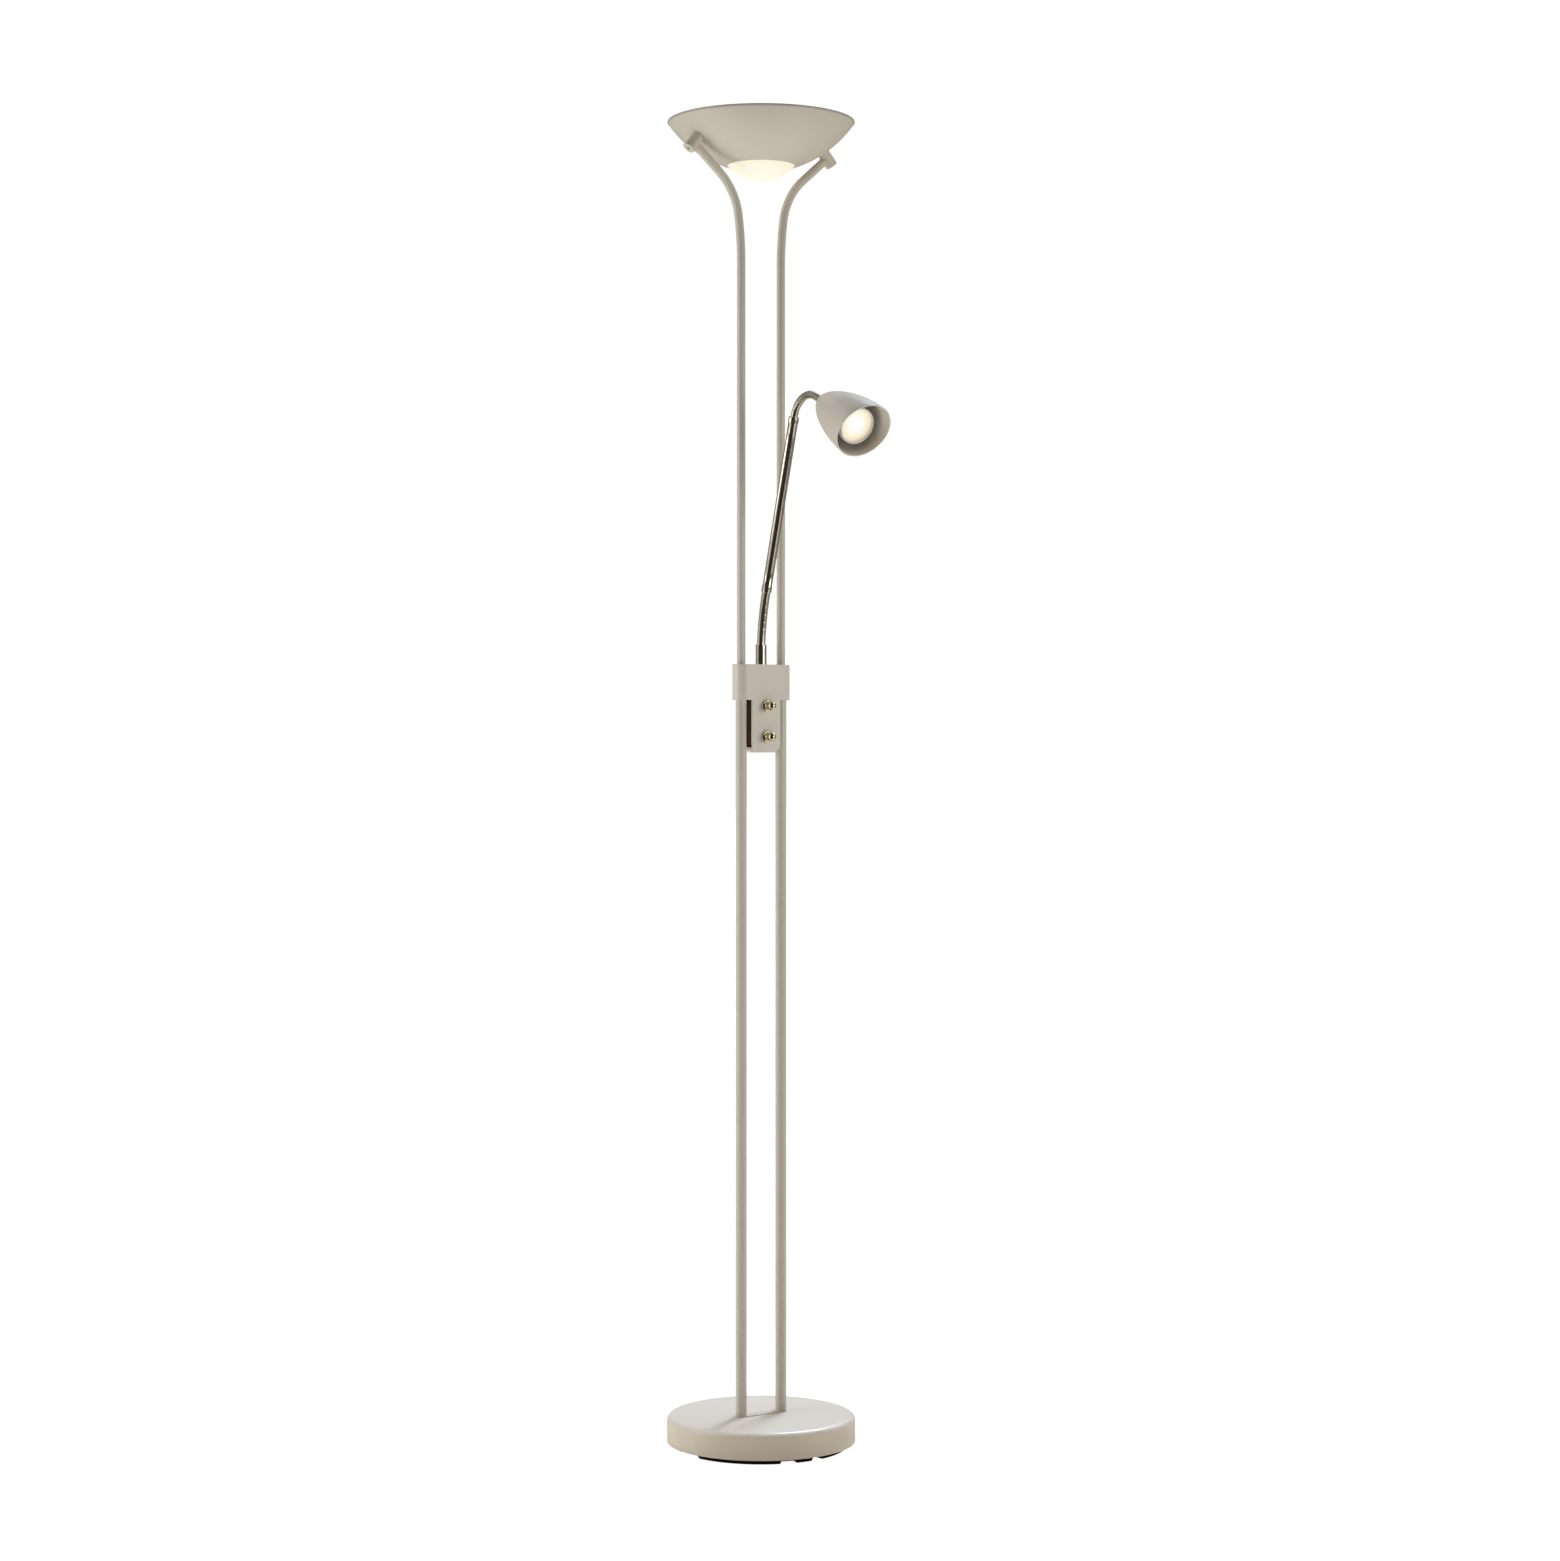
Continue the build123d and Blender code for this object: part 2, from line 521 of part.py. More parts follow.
def dimmer_module():
    """Sealed dimmer block with a threaded bushing for each shaft."""
    width = DIMMER_WIDTH - 2 * DIMMER_WALL - 2 * MODULE_SIDE_GAP
    block = shield(width, MODULE_BOTTOM_Z, MODULE_TOP_Z, MODULE_FOOT_RADIUS, MODULE_REAR, MODULE_FRONT)
    bushing_end = FRONT + BUSHING_NUT_HEIGHT
    for _, z in KNOB_LEVELS:
        block += rod((0, -MODULE_FRONT, z), (0, -bushing_end, z), BUSHING_DIAMETER / 2)
        shaft_end = FRONT - DIMMER_WALL - SHAFT_TAIL
        block -= rod((0, -shaft_end + REST_GAP, z), (0, -bushing_end, z), SHAFT_DIAMETER / 2 + RUNNING_GAP)
    for z in COVER_SCREW_LEVELS:
        block -= rod((0, -MODULE_REAR, z), (0, -MODULE_REAR - COVER_SCREW_LENGTH - REST_GAP, z),
                     COVER_SCREW_DIAMETER / 2 + SEAT_GAP)
    return block


def cover_screws():
    """Pan head screws through the back plate into the module."""
    plate_face = DIMMER_REAR_REACH + DIMMER_BACK_THICKNESS
    screws = []
    for z in COVER_SCREW_LEVELS:
        head = rod((0, plate_face, z), (0, plate_face + COVER_SCREW_HEAD_HEIGHT, z), COVER_SCREW_HEAD / 2)
        shank_end = DIMMER_REAR_REACH - COVER_SCREW_LENGTH
        screws.append(head + rod((0, shank_end, z), (0, plate_face, z), COVER_SCREW_DIAMETER / 2))
    return Compound(screws)


def bushing_nuts():
    """Nuts that hold the module to the front of the cover, hidden inside the knobs."""
    nut = hex_nut(BUSHING_NUT_ACROSS, BUSHING_DIAMETER + 2 * SEAT_GAP, BUSHING_NUT_HEIGHT)
    return Compound([front_plane(0, FRONT, z) * nut for _, z in KNOB_LEVELS])


def knob():
    """Turned knob: a round rim, a waist and a ball end, with a recess over the nut."""
    rim = KNOB_RIM_DIAMETER / 2
    neck = KNOB_NECK_DIAMETER / 2
    ball = KNOB_BALL_DIAMETER / 2
    ball_z = KNOB_LENGTH - ball
    meet_z = ball_z - sqrt(ball**2 - neck**2)
    half_rim = KNOB_RIM_THICKNESS / 2
    foot = Line((0, 0), (rim - half_rim, 0))
    edge = JernArc(foot @ 1, (1, 0), half_rim, 180)
    slope = Spline(edge @ 1, (neck, meet_z), tangents=((-1, 0), (0, 1)))
    tip = ThreePointArc(slope @ 1, (ball, ball_z), (0, KNOB_LENGTH))
    axis_line = Line(tip @ 1, foot @ 0)
    body = revolve(Plane.XZ * make_face([foot, edge, slope, tip, axis_line]), Axis.Z)
    body -= Cylinder(KNOB_RECESS_DIAMETER / 2, KNOB_RECESS_DEPTH, align=STEEL_UP)
    return body - Cylinder(SHAFT_DIAMETER / 2 + SEAT_GAP, KNOB_BORE_DEPTH, align=STEEL_UP)


parts["dimmer_cover"] = dimmer_cover()
parts["dimmer_back"] = dimmer_back()
parts["dimmer_module"] = dimmer_module()
parts["cover_screws"] = cover_screws()
parts["bushing_nuts"] = bushing_nuts()
for level, z in KNOB_LEVELS:
    parts[level + "_knob"] = front_plane(0, FRONT + KNOB_STAND_OFF, z) * knob()
    shaft_start = FRONT - DIMMER_WALL - SHAFT_TAIL
    shaft_stop = FRONT + KNOB_STAND_OFF + KNOB_BORE_DEPTH - SEAT_GAP
    parts[level + "_shaft"] = rod((0, -shaft_start, z), (0, -shaft_stop, z), SHAFT_DIAMETER / 2)


# Uplight

def sphere_level(radius, sphere_radius):
    """Height of the bowl's sphere, or one inside it, at a radius from the lamp's axis."""
    return BOWL_CENTRE_Z - sqrt(sphere_radius**2 - radius**2)


def bowl_arc(inner_radius, outer_radius, sphere_radius):
    """Meridian of a sphere round the bowl's centre, between two radii."""
    middle = (inner_radius + outer_radius) / 2
    spots = [(r, sphere_level(r, sphere_radius)) for r in (inner_radius, middle, outer_radius)]
    return ThreePointArc(*spots)


def boss_plane(distance, side):
    """Plane square to a boss axis that faces away from the bowl."""
    outward = boss_point(1, side) - boss_point(0, side)
    return Plane(boss_point(distance, side), x_dir=(0, 1, 0), z_dir=outward)


def uplight_bowl():
    """Spun spherical bowl with an upright lip and a round hole for the glass."""
    hole = BOWL_HOLE_DIAMETER / 2
    outside = bowl_arc(hole, BOWL_RADIUS, BOWL_SPHERE_RADIUS)
    lip_outer = Line(outside @ 1, (BOWL_RADIUS, TOTAL_HEIGHT))
    lip_top = Line(lip_outer @ 1, (BOWL_RADIUS - BOWL_WALL, TOTAL_HEIGHT))
    inside = bowl_arc(hole, BOWL_RADIUS - BOWL_WALL, BOWL_INNER_RADIUS)
    lip_inner = Line(lip_top @ 1, inside @ 1)
    hole_edge = Line(inside @ 0, outside @ 0)
    bowl = revolve(Plane.XZ * make_face([outside, lip_outer, lip_top, lip_inner, inside, hole_edge]), Axis.Z)
    for _, side in SIDES:
        bowl -= boss_plane(BOWL_INNER_RADIUS, side) * Cylinder(BOSS_SCREW_DIAMETER / 2 + SEAT_GAP, BOSS_LENGTH)
    return bowl


def glass_diffuser():
    """Deep frosted glass dish that sits in the bowl's hole."""
    seat = BOWL_HOLE_DIAMETER / 2 - SEAT_GAP
    centre = sphere_level(seat, BOWL_INNER_RADIUS) + sqrt(GLASS_SPHERE_RADIUS**2 - seat**2)
    rim_z = centre - sqrt(GLASS_SPHERE_RADIUS**2 - (GLASS_RIM_DIAMETER / 2)**2)
    dish = Sphere(GLASS_SPHERE_RADIUS) - Sphere(GLASS_SPHERE_RADIUS - GLASS_WALL)
    dish = Pos(0, 0, centre) * dish
    above = Box(BOWL_DIAMETER, BOWL_DIAMETER, 2 * GLASS_SPHERE_RADIUS + GLASS_RIM_DIAMETER, align=STEEL_UP)
    return dish - Pos(0, 0, rim_z) * above, rim_z


def glass_clips(rim_z):
    """Spring clips on the bowl's floor that hold the glass down by its rim."""
    finger_z = rim_z + REST_GAP
    knee_r = GLASS_RIM_DIAMETER / 2 + 2
    toe_r = knee_r + CLIP_FOOT
    lift = CLIP_THICKNESS / 2 + REST_GAP
    knee_z = sphere_level(knee_r, BOWL_INNER_RADIUS) + lift
    toe_z = sphere_level(toe_r, BOWL_INNER_RADIUS) + lift
    spine = Polyline((toe_r, toe_z), (knee_r, knee_z), (knee_r, finger_z + CLIP_THICKNESS / 2),
                     (knee_r - CLIP_FINGER, finger_z + CLIP_THICKNESS / 2))
    strip = trace(spine, CLIP_THICKNESS)
    clip = extrude(Plane.XZ * strip, CLIP_WIDTH / 2, both=True)
    return Compound([Rot(0, 0, 90 + k * 360 / CLIP_COUNT) * clip for k in range(CLIP_COUNT)])


def boss(side):
    """Round boss between a pole's end and the bowl, with its cross hole and its two screw holes."""
    body = Cylinder(BOSS_DIAMETER / 2, BOSS_LENGTH)
    body = fillet(body.edges().group_by(Axis.Z)[-1], BOSS_EDGE_RADIUS)
    body -= Pos(0, 0, -BOSS_LENGTH / 2) * Cylinder(
        BOSS_SCREW_DIAMETER / 2 + SEAT_GAP, 2 * (BOSS_SCREW_REACH + SEAT_GAP))
    body -= Cylinder(SET_SCREW_DIAMETER / 2 + SEAT_GAP, BOSS_LENGTH, align=STEEL_UP)
    body = boss_plane(BOSS_MIDDLE, side) * body
    middle = boss_point(BOSS_MIDDLE, side)
    angle = radians(BOSS_ANGLE)
    along_pole = Vector(side * cos(angle), 0, sin(angle))
    far = middle + along_pole * (BOSS_POLE_DEPTH + SEAT_GAP)
    return body - rod(middle - along_pole * BOSS_DIAMETER, far, UPPER_POLE_DIAMETER / 2 + SEAT_GAP)


BRACKET_FACE = sqrt(BOWL_INNER_RADIUS**2 - (BRACKET_WIDTH / 2)**2 - (BRACKET_TAB / 2)**2) - SEAT_GAP
BRACKET_TOP = BRACKET_FACE - BRACKET_THICKNESS


def boss_screws():
    """Screws from inside the bowl, through bracket and bowl, into the bosses."""
    screws = []
    for _, side in SIDES:
        under_head = BRACKET_TOP - SEAT_GAP
        head = Cylinder(BOSS_SCREW_HEAD / 2, BOSS_SCREW_HEAD_HEIGHT, align=STEEL_UP)
        reach = BOSS_SEAT + BOSS_SCREW_REACH - under_head
        shank = Cylinder(BOSS_SCREW_DIAMETER / 2, reach, align=STEEL_UP)
        screws.append(boss_plane(under_head, side) * (shank + Pos(0, 0, -BOSS_SCREW_HEAD_HEIGHT) * head))
    return Compound(screws)


def pole_end_screws():
    """Grub screws in the outer ends of the bosses that lock the poles."""
    start = BOSS_MIDDLE + UPPER_POLE_DIAMETER / 2 + SEAT_GAP
    length = BOSS_LENGTH / 2 - UPPER_POLE_DIAMETER / 2 - SEAT_GAP - SET_SCREW_SOCKET_DEPTH / 2
    return Compound([boss_plane(start, side) * grub_screw(length) for _, side in SIDES])


def bracket_corner():
    """Point where the bracket's slanted tab meets its level run, on the tab's middle plane."""
    angle = radians(BOSS_ANGLE)
    middle = boss_point(BRACKET_FACE - BRACKET_THICKNESS / 2, 1)
    return middle.X - BRACKET_TAB / 2 * cos(angle), middle.Z - BRACKET_TAB / 2 * sin(angle)


BRACKET_RUN_Z = bracket_corner()[1]
LINEAR_BULB_Z = BRACKET_RUN_Z + BRACKET_THICKNESS / 2 + LINEAR_BULB_RISE


def lamp_bracket():
    """Bent strip across the bowl, held by the boss screws."""
    angle = radians(BOSS_ANGLE)
    corner_x, corner_z = bracket_corner()
    tip_x = corner_x + BRACKET_TAB * cos(angle)
    tip_z = corner_z + BRACKET_TAB * sin(angle)
    spine = Polyline((-tip_x, tip_z), (-corner_x, corner_z), (corner_x, corner_z), (tip_x, tip_z))
    strip = extrude(Plane.XZ * trace(spine, BRACKET_THICKNESS), BRACKET_WIDTH / 2, both=True)
    for _, side in SIDES:
        hole = Cylinder(BOSS_SCREW_DIAMETER / 2 + SEAT_GAP, 4 * BRACKET_THICKNESS)
        strip -= boss_plane(BRACKET_FACE, side) * hole
    return strip


def lampholders():
    """Ceramic blocks on the bracket that grip the ends of the linear bulb."""
    block_bottom = BRACKET_RUN_Z + BRACKET_THICKNESS / 2
    inner_face = LINEAR_BULB_LENGTH / 2 - HOLDER_GRIP
    height = LINEAR_BULB_RISE + HOLDER_CROWN
    holders = []
    for _, side in SIDES:
        block = Box(HOLDER_LENGTH, HOLDER_WIDTH, height, align=STEEL_UP)
        block = fillet(block.edges().filter_by(Axis.X).group_by(Axis.Z)[-1], HOLDER_CROWN / 2)
        block = Pos(side * (inner_face + HOLDER_LENGTH / 2), 0, block_bottom) * block
        grip = rod((0, 0, LINEAR_BULB_Z), (side * (LINEAR_BULB_LENGTH / 2 + SEAT_GAP), 0, LINEAR_BULB_Z),
                   LINEAR_CAP_DIAMETER / 2 + SEAT_GAP)
        holders.append(block - grip)
    return Compound(holders)


def linear_bulb_caps():
    """Ceramic end caps of the linear bulb."""
    caps = []
    for _, side in SIDES:
        start = (side * LINEAR_TUBE_LENGTH / 2, 0, LINEAR_BULB_Z)
        stop = (side * LINEAR_BULB_LENGTH / 2, 0, LINEAR_BULB_Z)
        caps.append(rod(start, stop, LINEAR_CAP_DIAMETER / 2))
    return Compound(caps)


def linear_bulb_tube():
    """Glass tube of the linear bulb, with rounded ends."""
    half = LINEAR_TUBE_LENGTH / 2
    tube = rod((-half, 0, LINEAR_BULB_Z), (half, 0, LINEAR_BULB_Z), LINEAR_TUBE_DIAMETER / 2)
    return fillet(tube.edges().filter_by(GeomType.CIRCLE), (LINEAR_TUBE_DIAMETER - LINEAR_CAP_DIAMETER) / 4)


diffuser, GLASS_RIM_Z = glass_diffuser()
parts["uplight_bowl"] = uplight_bowl()
parts["glass_diffuser"] = diffuser
parts["glass_clips"] = glass_clips(GLASS_RIM_Z)
for name, side in SIDES:
    parts["bowl_boss_" + name] = boss(side)
parts["boss_screws"] = boss_screws()
parts["pole_end_screws"] = pole_end_screws()
parts["lamp_bracket"] = lamp_bracket()
parts["lampholders"] = lampholders()
parts["linear_bulb_caps"] = linear_bulb_caps()
parts["linear_bulb_tube"] = linear_bulb_tube()


# Goosenecks

class NeckPath:
    """Centre line in the plane X = 0: an arc that leans further forward as it goes, then straight."""

    def __init__(self, forward, z, lean, radius, arc_length):
        self.start = (forward, z)
        self.lean = radians(lean)
        self.radius = radius
        self.arc_length = arc_length

    def plane(self, along):
        """Plane square to the centre line at a distance along it, with its X axis kept on X."""
        on_arc = min(max(along, 0), self.arc_length)
        lean = self.lean + on_arc / self.radius
        rest = along - on_arc
        forward = self.start[0] + self.radius * (cos(self.lean) - cos(lean)) + rest * sin(lean)
        z = self.start[1] + self.radius * (sin(lean) - sin(self.lean)) + rest * cos(lean)
        return Plane((0, -forward, z), x_dir=(1, 0, 0), z_dir=(0, -sin(lean), cos(lean)))


class Neck:
    """Sizes that the links of one gooseneck share."""

    def __init__(self, path, length, links, diameter, ball, stem):
        self.path = path
        self.links = links
        self.spacing = (length - RIB_GROOVE) / links
        self.end = length
        self.crest = diameter / 2
        self.ball = ball / 2
        self.stem = stem / 2

    def pivot(self, number):
        """Distance along the neck of a pivot. Pivot 0 is in the piece below the first link."""
        return number * self.spacing - SOCKET_LIP

    def pivot_point(self, number):
        return self.path.plane(self.pivot(number)).origin

    def ball_and_stem(self, number, stem_end):
        """Ball on a pivot, with the stem that joins it to the piece above."""
        centre = self.pivot_point(number)
        stem_top = self.path.plane(stem_end).origin
        return Pos(*centre) * Sphere(self.ball) + rod(centre, stem_top, self.stem)

    def socket(self, number):
        return Pos(*self.pivot_point(number)) * Sphere(self.ball + BALL_GAP)

    def bore(self, start, stop):
        """Wire passage along the neck between two distances."""
        steps = 6
        rings = []
        for k in range(steps + 1):
            rings.append(self.path.plane(start + (stop - start) * k / steps) * Circle(ARM_BORE / 2))
        return loft(rings, ruled=True)

    def link(self, number):
        """Ribbed link: ball on the pivot below it, ribs along it, socket for the next ball at its end."""
        first = (number - 1) * self.spacing + RIB_GROOVE
        pitch = self.spacing / RIBS_PER_LINK
        width = pitch - RIB_GROOVE
        root = self.crest - RIB_HEIGHT
        rings = []
        for rib in range(RIBS_PER_LINK):
            foot = first + rib * pitch
            for offset, radius in ((0, root), (RIB_FLANK, self.crest), (width - RIB_FLANK, self.crest),
                                   (width, root)):
                rings.append(self.path.plane(foot + offset) * Circle(radius))
        body = loft(rings, ruled=True) + self.ball_and_stem(number - 1, first + pitch / 2)
        body -= self.socket(number)
        below = self.pivot(number - 1) - self.ball - BALL_GAP
        return body - self.bore(below, number * self.spacing + BALL_GAP)


FERRULE_TOP_Z = COLLAR_TOP_Z + FERRULE_HEIGHT
lower_radius = LOWER_NECK_LENGTH / radians(ARM_LEAN - LOWER_NECK_LEAN)
lower_path = NeckPath(0, FERRULE_TOP_Z, LOWER_NECK_LEAN, lower_radius, LOWER_NECK_LENGTH)
lower_neck = Neck(lower_path, LOWER_NECK_LENGTH, LOWER_NECK_LINKS, LOWER_NECK_DIAMETER,
                  LOWER_BALL_DIAMETER, LOWER_STEM_DIAMETER)
TUBE_PLANE = lower_path.plane(LOWER_NECK_LENGTH)
tube_top = TUBE_PLANE.from_local_coords((0, 0, TUBE_LENGTH))
upper_arc = UPPER_NECK_RADIUS * radians(90 + HEAD_DIP - ARM_LEAN)
upper_path = NeckPath(-tube_top.Y, tube_top.Z, ARM_LEAN, UPPER_NECK_RADIUS, upper_arc)
upper_neck = Neck(upper_path, UPPER_NECK_LENGTH, UPPER_NECK_LINKS, UPPER_NECK_DIAMETER,
                  UPPER_BALL_DIAMETER, UPPER_STEM_DIAMETER)


def arm_ferrule():
    """Ferrule on the collar, with the first socket in its slanted top and a threaded tail below."""
    foot = Plane((0, 0, COLLAR_TOP_Z), x_dir=(1, 0, 0), z_dir=(0, 0, 1))
    rings = [foot * Circle(FERRULE_DIAMETER / 2), lower_path.plane(0) * Circle(FERRULE_DIAMETER / 2)]
    tail_length = COLLAR_ROOF + FERRULE_NUT_HEIGHT
    tail = rod((0, 0, COLLAR_TOP_Z - tail_length), (0, 0, COLLAR_TOP_Z), FERRULE_TAIL_DIAMETER / 2)
    body = loft(rings, ruled=True) + tail - lower_neck.socket(0)
    return body - rod((0, 0, COLLAR_TOP_Z - tail_length), (0, 0, FERRULE_TOP_Z), ARM_BORE / 2)


def reading_tube():
    """Smooth arm tube with a crimped plug at each end: a ball below and a socket above."""
    crimp = Cylinder(CRIMP_DIAMETER / 2, CRIMP_LENGTH, align=STEEL_UP)
    body = Cylinder(TUBE_DIAMETER / 2, TUBE_LENGTH, align=STEEL_UP) + crimp
    body += Pos(0, 0, TUBE_LENGTH - CRIMP_LENGTH) * crimp
    hollow = Cylinder(TUBE_DIAMETER / 2 - TUBE_WALL, TUBE_LENGTH - 2 * CRIMP_SOLID, align=STEEL_UP)
    body -= Pos(0, 0, CRIMP_SOLID) * hollow
    body = TUBE_PLANE * body
    body += lower_neck.ball_and_stem(lower_neck.links, LOWER_NECK_LENGTH + CRIMP_LENGTH / 2)
    body -= upper_neck.socket(0)
    below = lower_neck.pivot(lower_neck.links) - lower_neck.ball - BALL_GAP
    body -= lower_neck.bore(below, LOWER_NECK_LENGTH + CRIMP_SOLID + BALL_GAP)
    return body - upper_neck.bore(-CRIMP_SOLID - BALL_GAP, BALL_GAP)


parts["arm_ferrule"] = arm_ferrule()
ferrule_nut = hex_nut(FERRULE_NUT_ACROSS, FERRULE_TAIL_DIAMETER + 2 * SEAT_GAP, FERRULE_NUT_HEIGHT)
parts["ferrule_nut"] = Pos(0, 0, COLLAR_TOP_Z - COLLAR_ROOF - FERRULE_NUT_HEIGHT) * ferrule_nut
for number in range(1, LOWER_NECK_LINKS + 1):
    parts["lower_neck_link_%d" % number] = lower_neck.link(number)
parts["reading_tube"] = reading_tube()
for number in range(1, UPPER_NECK_LINKS + 1):
    parts["upper_neck_link_%d" % number] = upper_neck.link(number)


# Reading head, built along its own axis from the tip of the bell and then put in place

HEAD_PLANE = upper_path.plane(UPPER_NECK_LENGTH + STUB_LENGTH - SHADE_FLAT)
SHADE_RADIUS = SHADE_MOUTH_DIAMETER / 2
SPOT_FACE = SHADE_LENGTH - SPOT_RECESS
SPOT_BACK = SPOT_FACE - SPOT_LENGTH
BELL_STEPS = (0.05, 0.1, 0.2, 0.35, 0.55, 0.78)


def bell_radius(along, inset):
    """Radius of the bell at a distance from its tip; the inset gives the inside of the wall."""
    share = min((along - inset) / (SHADE_LENGTH - inset), 1)
    return (SHADE_RADIUS - inset) * (1 - (1 - share)**SHADE_SHAPE)**(1 / SHADE_SHAPE)


def bell(inset, flat, far):
    """Solid bell from a flat back to a straight skirt."""
    spots = [(bell_radius(flat, inset), flat)]
    spots += [(bell_radius(share * SHADE_LENGTH, inset), share * SHADE_LENGTH) for share in BELL_STEPS]
    spots.append((SHADE_RADIUS - inset, SHADE_LENGTH))
    curve = Spline(*spots)
    skirt = Polyline(spots[-1], (SHADE_RADIUS - inset, far), (0, far), (0, flat), spots[0])
    return revolve(Plane.XZ * make_face([curve, skirt]), Axis.Z)


def reading_shade():
    """Bell-shaped shade whose mouth is cut on a slant, longer at the top."""
    slant = MOUTH_DIP - HEAD_DIP
    far = SHADE_LENGTH + SHADE_MOUTH_DIAMETER * tan(radians(slant))
    shade = bell(0, SHADE_FLAT, far) - bell(SHADE_WALL, SHADE_FLAT + SHADE_WALL, far)
    shade -= Cylinder(STUB_TAIL_DIAMETER / 2 + SEAT_GAP, 2 * (SHADE_FLAT + SHADE_WALL))
    mouth = Plane((0, 0, SHADE_LENGTH), x_dir=(1, 0, 0), z_dir=(0, -sin(radians(slant)), cos(radians(slant))))
    waste = Box(2 * SHADE_MOUTH_DIAMETER, 2 * SHADE_MOUTH_DIAMETER, SHADE_LENGTH, align=STEEL_UP)
    return shade - mouth * waste


def head_stub():
    """Round stub between the gooseneck and the shade, with the last ball and a threaded tail."""
    visible = Cylinder(UPPER_NECK_DIAMETER / 2, STUB_LENGTH, align=STEEL_UP)
    tail = Cylinder(STUB_TAIL_DIAMETER / 2, STUB_LENGTH + STUB_TAIL_LENGTH, align=STEEL_UP)
    body = upper_path.plane(UPPER_NECK_LENGTH) * (visible + tail)
    body += upper_neck.ball_and_stem(upper_neck.links, UPPER_NECK_LENGTH + STUB_LENGTH)
    below = upper_neck.pivot(upper_neck.links) - upper_neck.ball - BALL_GAP
    return body - upper_neck.bore(below, UPPER_NECK_LENGTH + STUB_LENGTH + STUB_TAIL_LENGTH + BALL_GAP)


HOLDER_BACK = SHADE_FLAT + STUB_TAIL_LENGTH - SPOT_HOLDER_GRIP


def spot_pins(radius, length):
    """Two pins of the spot bulb's base, pointing back."""
    spots = [Pos(side * SPOT_PIN_SPACING / 2, 0, SPOT_BACK - length) for _, side in SIDES]
    return [spot * Cylinder(radius, length, align=STEEL_UP) for spot in spots]


def spot_holder():
    """Ceramic lampholder screwed on the end of the stub's tail."""
    length = SPOT_BACK - SEAT_GAP - HOLDER_BACK
    body = Pos(0, 0, HOLDER_BACK) * Cylinder(SPOT_HOLDER_DIAMETER / 2, length, align=STEEL_UP)
    tail = Cylinder(STUB_TAIL_DIAMETER / 2 + SEAT_GAP, SPOT_HOLDER_GRIP + SEAT_GAP, align=STEEL_UP)
    body -= Pos(0, 0, HOLDER_BACK) * tail
    for pin in spot_pins(SPOT_PIN_DIAMETER / 2 + SEAT_GAP, SPOT_PIN_LENGTH + SEAT_GAP):
        body -= pin
    return body


def spot_bulb():
    """Spot bulb: base block, flared reflector body, rim with a recess for its lens, and two pins."""
    rim = SPOT_DIAMETER / 2
    base = SPOT_BASE_DIAMETER / 2
    waist_z = SPOT_BACK + SPOT_BASE_HEIGHT
    rim_z = SPOT_FACE - SPOT_RIM_HEIGHT
    body = turned([(0, SPOT_BACK), (base, SPOT_BACK), (base, waist_z), (rim, rim_z), (rim, SPOT_FACE),
                   (0, SPOT_FACE)])
    lens_seat = Cylinder(SPOT_LENS_DIAMETER / 2 + SEAT_GAP, SPOT_LENS_THICKNESS, align=STEEL_UP)
    body -= Pos(0, 0, SPOT_FACE - SPOT_LENS_THICKNESS) * lens_seat
    for pin in spot_pins(SPOT_PIN_DIAMETER / 2, SPOT_PIN_LENGTH):
        body += pin
    return body


def spot_lens():
    """Flat lens in the front of the spot bulb."""
    lens = Cylinder(SPOT_LENS_DIAMETER / 2, SPOT_LENS_THICKNESS, align=STEEL_UP)
    return Pos(0, 0, SPOT_FACE - SPOT_LENS_THICKNESS) * lens


parts["head_stub"] = head_stub()
stub_nut = hex_nut(STUB_NUT_ACROSS, STUB_TAIL_DIAMETER + 2 * SEAT_GAP, STUB_NUT_HEIGHT)
parts["stub_nut"] = HEAD_PLANE * Pos(0, 0, SHADE_FLAT + SHADE_WALL) * stub_nut
parts["reading_shade"] = HEAD_PLANE * reading_shade()
parts["spot_holder"] = HEAD_PLANE * spot_holder()
parts["spot_bulb"] = HEAD_PLANE * spot_bulb()
parts["spot_lens"] = HEAD_PLANE * spot_lens()

os.makedirs("parts", exist_ok=True)
for name, piece in parts.items():
    export_step(piece, "parts/%s.step" % name)
print("nodes", len(parts))
print("turn of the upper neck", round(HEAD_DIP + 90 - ARM_LEAN, 1), "degrees on radius", UPPER_NECK_RADIUS)
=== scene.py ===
# %% [markdown]
# # A floor lamp with a reading light
# The lamp is an assembly of separate pieces that already have their places and their joints. This lesson
# dresses that assembly: it keeps the fixed frame as it is, puts finer surfaces over the pieces that show
# most, and gives every surface a finish made of nodes. All lengths are metres, Z is up and the lamp's front
# looks along -Y.

# %% Load the frame
import json
import math

